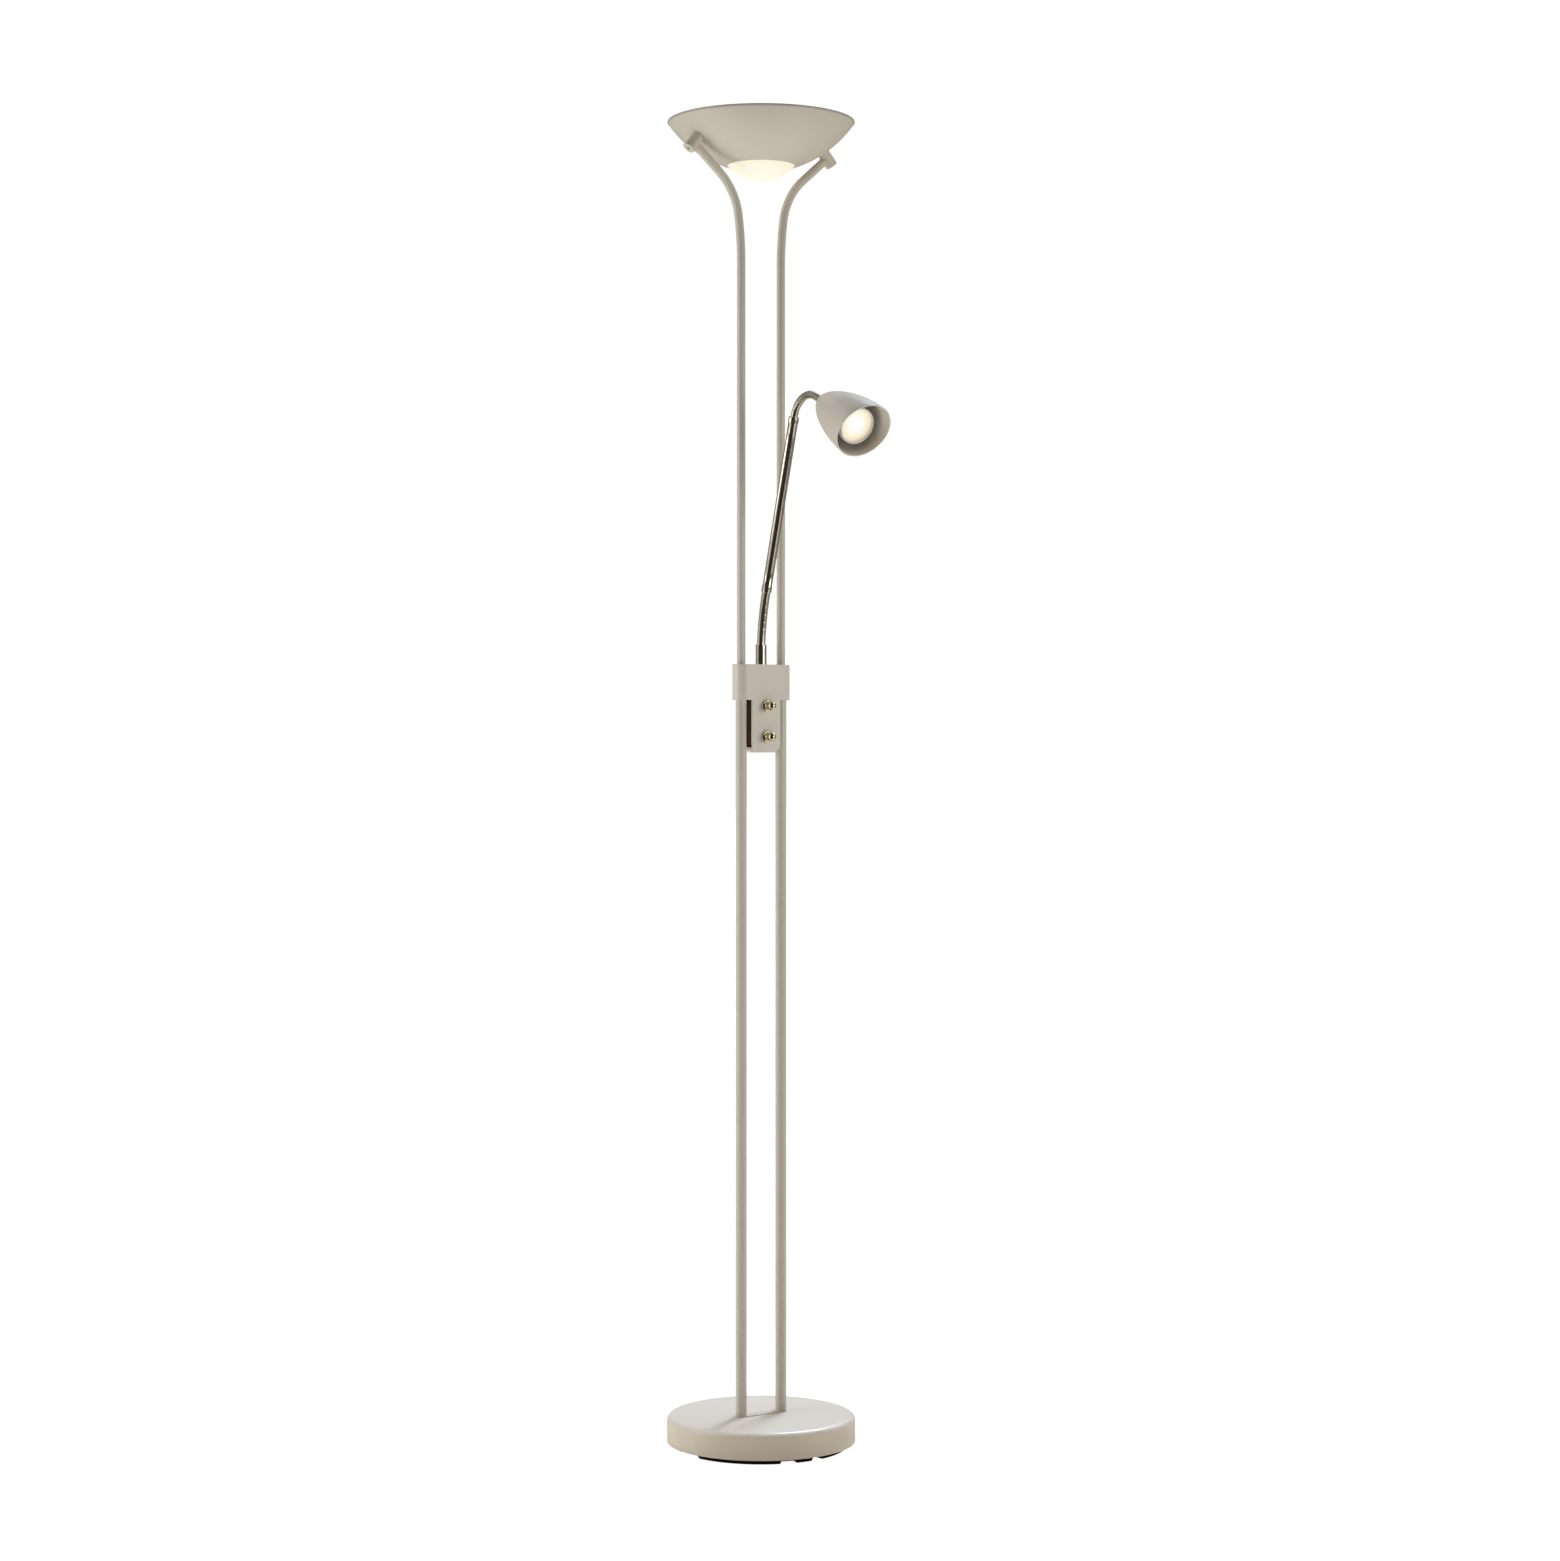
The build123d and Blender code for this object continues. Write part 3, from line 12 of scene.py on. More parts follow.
import bmesh
import bpy
import numpy as np
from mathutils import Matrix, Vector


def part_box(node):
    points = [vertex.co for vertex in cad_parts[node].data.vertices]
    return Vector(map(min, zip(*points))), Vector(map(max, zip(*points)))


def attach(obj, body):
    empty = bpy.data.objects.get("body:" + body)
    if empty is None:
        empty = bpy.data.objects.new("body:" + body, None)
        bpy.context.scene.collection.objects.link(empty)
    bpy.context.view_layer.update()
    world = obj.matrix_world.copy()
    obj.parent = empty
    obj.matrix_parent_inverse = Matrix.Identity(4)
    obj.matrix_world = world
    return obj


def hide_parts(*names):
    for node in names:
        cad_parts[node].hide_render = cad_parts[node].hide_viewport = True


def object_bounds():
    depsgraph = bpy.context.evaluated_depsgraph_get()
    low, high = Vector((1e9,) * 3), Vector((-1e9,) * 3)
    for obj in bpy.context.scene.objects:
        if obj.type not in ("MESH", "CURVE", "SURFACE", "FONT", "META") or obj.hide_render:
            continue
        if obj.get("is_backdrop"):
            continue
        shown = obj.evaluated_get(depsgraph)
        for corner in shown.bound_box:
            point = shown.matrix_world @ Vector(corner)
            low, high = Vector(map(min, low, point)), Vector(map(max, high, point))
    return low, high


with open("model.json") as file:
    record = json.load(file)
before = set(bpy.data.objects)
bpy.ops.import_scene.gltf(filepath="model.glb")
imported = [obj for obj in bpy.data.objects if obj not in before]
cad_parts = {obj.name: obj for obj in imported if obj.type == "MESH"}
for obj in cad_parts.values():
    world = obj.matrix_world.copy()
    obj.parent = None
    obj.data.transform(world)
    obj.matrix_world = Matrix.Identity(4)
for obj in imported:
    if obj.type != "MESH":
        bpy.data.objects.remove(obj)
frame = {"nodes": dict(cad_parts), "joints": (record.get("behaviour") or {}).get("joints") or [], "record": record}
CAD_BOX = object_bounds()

print("lamp height", round(CAD_BOX[1].z - CAD_BOX[0].z, 4))

# %% [markdown]
# ## The camera
# A camera that stands level keeps upright poles upright in the picture. This one stands level at about half
# the lamp's height, and a shift of the lens frames the lamp. Three numbers fix the view: how far the camera
# is from the lamp's axis, how high it is, and from which side it looks. They come from the ellipses of the
# base and of the bowl's rim, which close up as the eye comes level with them.

# %% Camera
PHOTO_SIZE = (1560, 1561)
AXIS_PIXEL = 761.1
HORIZON_PIXEL = 751.8
FOCAL_PIXELS = 3168.5
CAMERA_DISTANCE = 4.315
CAMERA_HEIGHT = 0.9447
CAMERA_AZIMUTH = math.radians(-33.5)
SENSOR_WIDTH = 36.0
VIEW_REACH = 60.0

lens = bpy.data.cameras.new("photo_camera")
lens.sensor_width = SENSOR_WIDTH
lens.sensor_fit = "HORIZONTAL"
lens.lens = FOCAL_PIXELS / PHOTO_SIZE[0] * SENSOR_WIDTH
lens.shift_x = (PHOTO_SIZE[0] / 2 - AXIS_PIXEL) / PHOTO_SIZE[0]
lens.shift_y = (HORIZON_PIXEL - PHOTO_SIZE[1] / 2) / PHOTO_SIZE[0]
lens.clip_end = VIEW_REACH
camera = bpy.data.objects.new("photo_camera", lens)
camera.location = (CAMERA_DISTANCE * math.sin(CAMERA_AZIMUTH), -CAMERA_DISTANCE * math.cos(CAMERA_AZIMUTH),
                   CAMERA_HEIGHT)
camera.rotation_euler = (math.pi / 2, 0, CAMERA_AZIMUTH)
bpy.context.scene.collection.objects.link(camera)
bpy.context.scene.camera = camera
print("lens", round(lens.lens, 2), "mm at", [round(v, 3) for v in camera.location])

# %% [markdown]
# ## Shader arithmetic
# A finish is a small formula: a base colour that drifts a little, a roughness that follows the same drift,
# fine bumps. Written as Blender nodes by hand this is a page of links. Wrapping a socket in a class that
# understands + - * / lets the formula be written as a formula, and each operator adds its Math node. One
# method adds every other kind of node, so nothing else in the lesson needs to know how nodes are linked.

# %% Field
class Field:
    """A value that varies over a surface: one output socket of a finish's node tree."""

    def __init__(self, finish, socket):
        self.finish = finish
        self.socket = socket

    def math(self, operation, first, second):
        """Add a Math node for one operation on two values."""
        return self.finish.node("ShaderNodeMath", {"operation": operation}, {0: first, 1: second})

    def __add__(self, other):
        return self.math("ADD", self, other)

    def __sub__(self, other):
        return self.math("SUBTRACT", self, other)

    def __rsub__(self, other):
        return self.math("SUBTRACT", other, self)

    def __mul__(self, other):
        return self.math("MULTIPLY", self, other)

    def __truediv__(self, other):
        return self.math("DIVIDE", self, other)

    def __rtruediv__(self, other):
        return self.math("DIVIDE", other, self)

    def __pow__(self, other):
        return self.math("POWER", self, other)

    def __rpow__(self, other):
        return self.math("POWER", other, self)

    __radd__ = __add__
    __rmul__ = __mul__


print("reflected operators", [word for word in vars(Field) if word.startswith("__r")])

# %% Finish
class Finish:
    """A material under construction, with one Principled shader."""

    def __init__(self, name):
        self.material = bpy.data.materials.new(name)
        self.material.use_nodes = True
        self.tree = self.material.node_tree
        self.shader = self.tree.nodes["Principled BSDF"]

    def plug(self, socket, value):
        """Link a field to a socket, or set the socket to a plain value."""
        if isinstance(value, Field):
            self.tree.links.new(value.socket, socket)
        else:
            socket.default_value = value

    def node(self, kind, settings=None, sockets=None, output=0):
        """Add a node: its settings first, then the values or links of its sockets. Returns one output."""
        made = self.tree.nodes.new(kind)
        for key, value in (settings or {}).items():
            if key == "stops":
                ramp = made.color_ramp.elements
                while len(ramp) < len(value):
                    ramp.new(1.0)
                for element, (position, colour) in zip(ramp, value):
                    element.position = position
                    element.color = colour
            else:
                setattr(made, key, value)
        for key, value in (sockets or {}).items():
            self.plug(made.inputs[key], value)
        return Field(self, made.outputs[output])

    def place(self, turn_x=0.0, stretch=(1, 1, 1), centre=(0, 0, 0)):
        """Object coordinates, moved to a centre, turned about X and stretched."""
        point = self.node("ShaderNodeTexCoord", output="Object")
        settings = {"vector_type": "TEXTURE"}
        sockets = {"Vector": point, "Location": centre, "Rotation": (turn_x, 0, 0),
                   "Scale": tuple(1 / s for s in stretch)}
        return self.node("ShaderNodeMapping", settings, sockets)

    def noise(self, place, scale, detail=2.0, rough=0.5):
        """Smooth random field between 0 and 1, about 0.5 on average."""
        return self.node("ShaderNodeTexNoise", {"noise_dimensions": "3D"},
                         {"Vector": place, "Scale": scale, "Detail": detail, "Roughness": rough}, "Fac")

    def cells(self, place, scale):
        """Distance to the nearest of many scattered points, which draws a pattern of cells."""
        return self.node("ShaderNodeTexVoronoi", {"feature": "F1"}, {"Vector": place, "Scale": scale},
                         "Distance")

    def along(self, place, axis):
        """One coordinate of a place: X, Y or Z."""
        return self.node("ShaderNodeSeparateXYZ", {}, {0: place}, axis)

    def fade(self, value, low, high, first, last):
        """Smooth step of a value: first up to low, last from high on."""
        return self.node("ShaderNodeMapRange", {"interpolation_type": "SMOOTHSTEP"},
                         {0: value, 1: low, 2: high, 3: first, 4: last})

    def mix(self, share, first, second):
        """Colour between two colours."""
        return self.node("ShaderNodeMix", {"data_type": "RGBA", "clamp_factor": True},
                         {0: share, 6: first, 7: second}, 2)

    def bump(self, height, distance, strength=1.0):
        """Normal that follows a height field; distance is the height of a full step in metres."""
        return self.node("ShaderNodeBump", {}, {"Height": height, "Distance": distance, "Strength": strength})

    def surface(self, **sockets):
        """Set or link the Principled shader's sockets. Underscores in a name stand for spaces."""
        for key, value in sockets.items():
            self.plug(self.shader.inputs[key.replace("_", " ")], value)
        return self.material


def linear(red, green, blue):
    """Colour for a shader from the 0 to 255 values that a picture shows, by undoing the sRGB curve."""
    channels = np.array([red, green, blue]) / 255
    light = np.where(channels <= 0.04045, channels / 12.92, ((channels + 0.055) / 1.055) ** 2.4)
    return (*light.tolist(), 1.0)


print("half grey is", round(linear(128, 128, 128)[0], 3), "of white light")

# %% [markdown]
# ## Cream paint
# Base, poles, collar, bowl and reading shade have one satin powder coat. Close to, powder coat has a fine
# orange peel, and from a step away its tone drifts a little with its thickness. A flat colour looks like
# plastic, so noises at three sizes drive colour, roughness and bump. The base, the collar and the dimmer
# cover take a paler copy of the same paint, which is painted light for the extra light they catch. Where
# hardly any light comes, at the bowl's edge and beside the bulb in the shade, a field paints shade into the
# paint's tone.

# %% Cream paint
CLOUD_SCALE, PEEL_SCALE, FLECK_SCALE = 9.0, 650.0, 2600.0
PEEL_HEIGHT = 0.00003
TONE_DRIFT = 0.05
# How far painted shade darkens the paint's tone.
DEEP_SHADE = 0.30
PAINT_TONE = linear(206, 199, 184)
# A paler copy of the paint tone, which is painted light for the base, the collar and the dimmer cover.
PAINTED_LIGHT_TONE = linear(218, 211, 196)


def scaled(tone, factor):
    """The same colour, darker or lighter by a factor."""
    return tuple(min(1.0, channel * factor) for channel in tone[:3]) + (1.0,)


def cream_paint(name, tone, shade=None):
    """Satin powder coat. shade(paint) may return a field of painted shade, from 0, none, to 1, full shade."""
    paint = Finish(name)
    place = paint.place()
    cloud = paint.noise(place, CLOUD_SCALE, 3.0)
    peel = paint.noise(place, PEEL_SCALE, 2.0)
    fleck = paint.noise(place, FLECK_SCALE, 1.0)
    colour = paint.mix(cloud * 0.7 + fleck * 0.3, scaled(tone, 1 - TONE_DRIFT), scaled(tone, 1 + TONE_DRIFT))
    if shade:
        colour = paint.mix(shade(paint), colour, scaled(tone, DEEP_SHADE))
    relief = paint.bump(peel + fleck * 0.25, PEEL_HEIGHT, 0.35)
    return paint.surface(Base_Color=colour, Roughness=0.36 + 0.14 * (cloud - 0.5) + 0.06 * peel,
                         Coat_Weight=0.10 + 0.06 * peel, Coat_Roughness=0.22, Normal=relief)


paint = cream_paint("cream_paint", PAINT_TONE)
# The paler copy of the cream paint is painted light: it lifts the base, the collar and the dimmer cover.
painted_light_paint = cream_paint("painted_light_paint", PAINTED_LIGHT_TONE)
print("paint nodes", len(paint.node_tree.nodes))

# %% [markdown]
# ## Nickel
# The reading arm and the dimmer knobs are plated with a warm nickel, which is yellower on the knobs.
# Plating over a drawn tube keeps faint lines along the tube, and these lines smear a reflection lengthways.
# They are a noise stretched far along the arm's own direction, so the coordinates are first turned by the
# arm's lean. On the small turned pieces the lines lie level instead. The colour stays nearly even: what we
# see on nickel is the room, and the cards and lights at the end give it a room.

# %% Nickel
ARM_LEAN = math.radians(16.2)
NICKEL_TONES = (linear(190, 181, 166), linear(206, 198, 184))
KNOB_TONES = (linear(206, 195, 160), linear(222, 211, 176))
LINE_HEIGHT = 0.000004


def nickel(name, lean, along, across, tones=NICKEL_TONES):
    """Plate with fine lines. along and across are the steps of the noise per metre in the two directions."""
    plate = Finish(name)
    drawn = plate.place(turn_x=lean, stretch=(across, across, along))
    lines = plate.noise(drawn, 1.0, 2.0)
    haze = plate.noise(plate.place(), 60.0, 3.0)
    colour = plate.mix(haze, *tones)
    return plate.surface(Base_Color=colour, Metallic=1.0, Roughness=0.10 + 0.10 * lines + 0.05 * haze,
                         Specular_Tint=linear(196, 190, 180), Normal=plate.bump(lines, LINE_HEIGHT, 0.4))


arm_nickel = nickel("nickel_arm", ARM_LEAN, along=40.0, across=1500.0)
turned_nickel = nickel("nickel_turned", 0.0, along=1500.0, across=60.0)
knob_nickel = nickel("nickel_knob", 0.0, along=1500.0, across=60.0, tones=KNOB_TONES)
print("nickel nodes", len(arm_nickel.node_tree.nodes))

# %% [markdown]
# ## Casting, rubber, ceramic and plastic
# One or two noises are enough for the pieces that hardly show. Four finishes share one function, in which a
# noise tints the colour and another drives roughness and bump: the rough casting of the weight, the dusty
# black rubber of the underlay and the cord gland, the glazed ceramic of the lampholders, and the dimmer's
# brown black plastic. A picture of each surface is another way, but noises need no file.

# %% Grained finishes
def grained(name, tones, tint, grain, rough, relief, lift=0.0, **more):
    """Finish with one noise in the colour and another in roughness and bump.

    rough is the least roughness and its span, relief is the bump's height and strength, and lift is the
    colour noise's share in the bump.
    """
    skin = Finish(name)
    place = skin.place()
    speck = skin.noise(place, *tint)
    peel = skin.noise(place, *grain)
    return skin.surface(Base_Color=skin.mix(speck, *tones), Roughness=rough[0] + rough[1] * peel,
                        Normal=skin.bump(peel + lift * speck, *relief), **more)


iron = grained("rough_casting", (linear(38, 37, 36), linear(78, 74, 70)), tint=(240.0, 6.0, 0.65),
               grain=(240.0, 6.0, 0.65), rough=(0.62, 0.25), relief=(0.0004, 0.8), Metallic=0.6)
rubber = grained("black_rubber", (linear(5, 5, 5), linear(14, 13, 12)), tint=(35.0, 4.0),
                 grain=(900.0, 2.0), rough=(0.72, 0.18), relief=(0.00006, 0.6), Specular_IOR_Level=0.02)
porcelain = grained("white_ceramic", (linear(226, 221, 210), linear(244, 241, 233)), tint=(1400.0, 2.0),
                    grain=(55.0, 2.0), rough=(0.24, 0.2), relief=(0.00004, 0.4), lift=0.2)
plastic = grained("black_plastic", (linear(71, 46, 36), linear(115, 78, 63)), tint=(40.0, 2.0),
                  grain=(2200.0, 2.0), rough=(0.45, 0.2), relief=(0.00003, 0.5), Specular_IOR_Level=0.12)
print("grained finishes", [made.name for made in (iron, rubber, porcelain, plastic)])

# %% [markdown]
# ## Zinc and quartz
# Nuts, studs and clips are zinc plated. Zinc has a soft crystal pattern, which a cell texture gives better
# than a noise. The linear bulb is a quartz tube, drawn lengthways, so its faint cords run along it. It is
# clear, which the alpha of its surface stands for.

# %% Zinc and quartz
def zinc_plate():
    """Plated steel: cells for the crystals and a haze over them."""
    plate = Finish("zinc_plate")
    place = plate.place()
    crystal = plate.cells(place, 420.0)
    haze = plate.noise(place, 180.0)
    colour = plate.mix(crystal * 0.6 + haze * 0.4, linear(176, 178, 180), linear(206, 207, 205))
    return plate.surface(Base_Color=colour, Metallic=1.0, Roughness=0.30 + 0.18 * haze,
                         Normal=plate.bump(crystal, 0.00001, 0.3))


def quartz():
    """Clear tube: a noise stretched along X for the cords in the glass."""
    tube = Finish("quartz_tube")
    cords = tube.noise(tube.place(stretch=(30, 600, 600)), 1.0, 2.0)
    return tube.surface(Base_Color=tube.mix(cords, linear(236, 238, 238), linear(250, 250, 248)),
                        Roughness=0.04 + 0.05 * cords, Alpha=0.30 + 0.10 * cords, IOR=1.46)


zinc = zinc_plate()
quartz_glass = quartz()
print("zinc nodes", len(zinc.node_tree.nodes), "quartz nodes", len(quartz_glass.node_tree.nodes))

# %% [markdown]
# ## The lit dish
# Both lamps are on in the picture. The frosted dish under the bowl scatters the light of the bulb above it,
# so it is nearly as bright as the paper white around it, brightest at the bottom where the bulb is seen
# straight on, and a little deeper in colour near the edge. Light that comes out of a surface is emission,
# and its colour may vary over the surface while its strength is one number.

# %% Frosted dish
DISH_LOW, DISH_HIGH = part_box("glass_diffuser")
DISH_GLOW = 0.9


def lit_dish():
    """Frosted glass whose glow deepens with the height in the dish, with a cloud and a fine frost in it."""
    glass = Finish("lit_frosted_glass")
    place = glass.place()
    rise = (glass.along(place, "Z") - DISH_LOW.z) / (DISH_HIGH.z - DISH_LOW.z)
    frost = glass.noise(place, 700.0, 3.0)
    cloud = glass.noise(place, 14.0, 2.0)
    share = rise + 0.25 * (cloud - 0.5) + 0.06 * (frost - 0.5)
    glow = glass.mix(share, linear(222, 216, 200), linear(208, 197, 170))
    return glass.surface(Base_Color=glass.mix(frost, linear(180, 174, 160), linear(192, 187, 174)),
                         Roughness=0.30 + 0.2 * frost, Emission_Color=glow, Emission_Strength=DISH_GLOW,
                         Normal=glass.bump(frost, 0.00003, 0.4))


dish_glass = lit_dish()
print("dish depth", round(DISH_HIGH.z - DISH_LOW.z, 4))

# %% [markdown]
# ## The lit lens
# The spot bulb is seen at a slant, so its glow lies a little off the middle of the lens. It is white in its
# middle and falls to cream and then to brown at the rim. A colour ramp over the distance from the glow's
# middle does that. Small cells stand for the facets of the lens, and they also break up the ramp's rings.

# %% Spot lens
HEAD_AXIS_DIP = math.radians(26.6)
LENS_LOW, LENS_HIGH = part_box("spot_lens")
LENS_CENTRE = [(low + high) / 2 for low, high in zip(LENS_LOW, LENS_HIGH)]
LENS_RADIUS = (LENS_HIGH.x - LENS_LOW.x) / 2
GLOW_SHIFT = (-0.0035, 0.0030)
GLOW_REACH = 1.22  # lens radii from the glow's middle to the last stop
GLOW_STOPS = (
    (0.0, linear(255, 253, 251)),
    (0.32, linear(251, 248, 241)),
    (0.56, linear(242, 233, 209)),
    (0.78, linear(228, 217, 190)),
    (1.0, linear(174, 158, 128)),
)
LENS_GLOW = 0.97


def lit_lens():
    """Lens whose glow follows a ramp over the distance from the glow's middle, in lens radii."""
    glass = Finish("lit_spot_lens")
    local = glass.place(turn_x=HEAD_AXIS_DIP + math.pi / 2, centre=LENS_CENTRE)
    across = glass.along(local, "X") - GLOW_SHIFT[0]
    upward = glass.along(local, "Y") - GLOW_SHIFT[1]
    radius = (across * across + upward * upward) ** 0.5 / LENS_RADIUS
    cells = glass.cells(local, 420.0)
    share = (radius + 0.06 * (cells - 0.5)) / GLOW_REACH
    glow = glass.node("ShaderNodeValToRGB", {"stops": GLOW_STOPS}, {0: share})
    return glass.surface(Base_Color=glass.mix(cells, linear(96, 90, 78), linear(112, 106, 94)),
                         Roughness=0.18 + 0.2 * cells, Emission_Color=glow, Emission_Strength=LENS_GLOW,
                         Normal=glass.bump(cells, 0.0002, 0.5))


lens_glass = lit_lens()
print("lens radius", round(LENS_RADIUS, 4))

# %% [markdown]
# ## Surfaces from arrays
# Nearly everything on this lamp is turned, spun or drawn, so nearly every surface is a profile carried
# round an axis or along a path. A profile is a list of radii and distances. Carrying it round gives a grid
# of points, one row for each profile point and one column for each angle, and a grid is a mesh once
# neighbouring points are joined. numpy works out the whole grid at once, which is shorter and faster than
# adding vertices one by one.

# %% Pieces from grids
AROUND = 96
MERGE_DISTANCE = 2e-6
SHARP_ANGLE = 35
slot_of = {entry["node"]: entry["material_slot"] for entry in frame["record"]["subparts"]}


def ring_angles(count=AROUND):
    """Angles of the columns of a turned surface, one full turn without the repeated last column."""
    return np.linspace(0, 2 * np.pi, count, endpoint=False)


def grid_mesh(name, grid, loop_rows=False, loop_columns=True):
    """Mesh from a grid of points: point (i, j) is joined to (i+1, j), (i+1, j+1) and (i, j+1).

    The last row joins the first with loop_rows, and the last column the first with loop_columns.
    """
    rows, columns = grid.shape[:2]
    index = np.arange(rows * columns).reshape(rows, columns)
    index = np.pad(index, ((0, int(loop_rows)), (0, int(loop_columns))), mode="wrap")
    quads = np.stack([index[:-1, :-1], index[1:, :-1], index[1:, 1:], index[:-1, 1:]], axis=-1)
    mesh = bpy.data.meshes.new(name)
    mesh.from_pydata(grid.reshape(-1, 3), [], quads.reshape(-1, 4))
    return mesh


def add_piece(name, grid, finish, body, nodes=(), loop_rows=False, sharp=SHARP_ANGLE):
    """Make a piece from a grid of rings. It rides on a body and stands for the solids that nodes names.

    Rows that shrink to a point become one vertex, and the faces are turned outwards.
    """
    mesh = grid_mesh(name, grid, loop_rows)
    work = bmesh.new()
    work.from_mesh(mesh)
    bmesh.ops.remove_doubles(work, verts=work.verts, dist=MERGE_DISTANCE)
    bmesh.ops.recalc_face_normals(work, faces=work.faces)
    work.to_mesh(mesh)
    work.free()
    mesh.polygons.foreach_set("use_smooth", np.ones(len(mesh.polygons), bool))
    mesh.set_sharp_from_angle(angle=math.radians(sharp))
    mesh.materials.append(finish)
    piece = bpy.data.objects.new(name, mesh)
    bpy.context.scene.collection.objects.link(piece)
    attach(piece, body)
    if nodes:
        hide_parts(*nodes)
    print(name, "faces", len(mesh.polygons))
    return mesh


print("slots", sorted(set(slot_of.values())))

# %% Profiles
def arc(centre, radius, start, stop, count):
    """Arc in the profile plane: centre + radius * (cos a, sin a), with a in degrees."""
    angle = np.radians(np.linspace(start, stop, count))
    return np.stack([centre[0] + radius * np.cos(angle), centre[1] + radius * np.sin(angle)], axis=-1)


def turn(profile, origin=(0, 0, 0), axis=(0, 0, 1), count=AROUND):
    """Carry a profile of (radius, height) round an axis.

    The point at angle a is origin + height * axis + radius * (cos a * side + sin a * other side).
    """
    axis = np.asarray(axis, float) / np.linalg.norm(axis)
    side = np.cross((0, 1, 0), axis) if abs(axis[1]) < 0.9 else np.array((1.0, 0, 0))
    side = side / np.linalg.norm(side)
    other = np.cross(axis, side)
    angle = ring_angles(count)
    spokes = np.cos(angle)[:, None] * side + np.sin(angle)[:, None] * other
    profile = np.asarray(profile, float)
    return np.asarray(origin, float) + profile[:, None, 1:] * axis + profile[:, None, :1] * spokes


print("columns of a turned surface", len(ring_angles()))

# %% [markdown]
# ## The uplight bowl
# The bowl is spun from sheet steel over a round former, so it is part of a sphere with one wall thickness,
# and its edge is rolled over so that it isn't sharp. A turned profile gives all of that: up the outside
# along the sphere, round the rolled edge, and back down the inside along a slightly smaller sphere. A
# narrow band at the edge has painted shade: the tone is darker where the roll turns away from the light.

# %% Bowl
BOWL_SPHERE = 0.156
BOWL_RADIUS = 0.1275
BOWL_WALL = 0.0012
BOWL_HOLE = 0.046
BOWL_COLUMNS = 144
ROLL_RADIUS = 0.0011
ROLL_TUCK_OUTSIDE, ROLL_TUCK_INSIDE = 0.0006, 0.001
RIM_FADE_FROM, RIM_FADE_TO = 0.0042, 0.0018
# How much painted shade the band under the bowl's edge gets.
RIM_SHADE = 0.55
bowl_low, bowl_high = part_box("uplight_bowl")
bowl_centre = bowl_low.z + math.sqrt(BOWL_SPHERE**2 - BOWL_HOLE**2)


def sphere_run(radius, inner, outer, count=56):
    """Sphere round the bowl's centre: radius * sin a outwards, centre - radius * cos a upwards."""
    angle = np.linspace(math.asin(inner / radius), math.asin(outer / radius), count)
    return np.stack([radius * np.sin(angle), bowl_centre - radius * np.cos(angle)], axis=-1)


def painted_rim_shade(paint):
    """Painted shade that fades in over a narrow band under the bowl's edge."""
    height = paint.along(paint.place(), "Z")
    return paint.fade(height, bowl_high.z - RIM_FADE_FROM, bowl_high.z - RIM_FADE_TO, 0.0, RIM_SHADE)


bowl_profile = np.concatenate([
    sphere_run(BOWL_SPHERE, BOWL_HOLE, BOWL_RADIUS - ROLL_TUCK_OUTSIDE),
    arc((BOWL_RADIUS - ROLL_RADIUS, bowl_high.z - ROLL_RADIUS), ROLL_RADIUS, -40, 215, 14),
    sphere_run(BOWL_SPHERE - BOWL_WALL, BOWL_HOLE, BOWL_RADIUS - BOWL_WALL - ROLL_TUCK_INSIDE)[::-1],
])
bowl_grid = turn(bowl_profile, count=BOWL_COLUMNS)
# The bowl's paint has painted shade in a narrow band under its edge.
bowl_paint = cream_paint("bowl_paint", PAINT_TONE, shade=painted_rim_shade)
add_piece("bowl_skin", bowl_grid, bowl_paint, "stand", ["uplight_bowl"], loop_rows=True)

# %% [markdown]
# ## The glass dish
# The dish is a deep cap of a smaller sphere that drops through the bowl's hole until it sits on the hole's
# edge. Its profile starts at the lowest point on the axis, runs up the outside, over a fire polished rim,
# and back down the inside to the axis, so the two ends close into poles.

# %% Dish
DISH_SPHERE = 0.060
DISH_WALL = 0.003
RIM_EASE = 1.5  # degrees by which the round rim starts early
dish_centre = DISH_LOW.z + DISH_SPHERE
rim_angle = math.degrees(math.acos((dish_centre - DISH_HIGH.z) / DISH_SPHERE)) - RIM_EASE
rim_middle = DISH_SPHERE - DISH_WALL / 2
rim_turn = math.radians(rim_angle)
rim_spot = (rim_middle * math.sin(rim_turn), dish_centre - rim_middle * math.cos(rim_turn))
dish_profile = np.concatenate([
    arc((0, dish_centre), DISH_SPHERE, -90, rim_angle - 90, 40),
    arc(rim_spot, DISH_WALL / 2, rim_angle - 90, rim_angle + 90, 9)[1:-1],
    arc((0, dish_centre), DISH_SPHERE - DISH_WALL, rim_angle - 90, -90, 40),
])
add_piece("glass_dish", turn(dish_profile), dish_glass, "stand", ["glass_diffuser"])

# %% [markdown]
# ## The base cover
# A pressed cover hides the cast weight. Its top is flat, its edge is a quarter round, and its lower edge is
# rounded over the thickness of the sheet. It is turned as one closed skin.

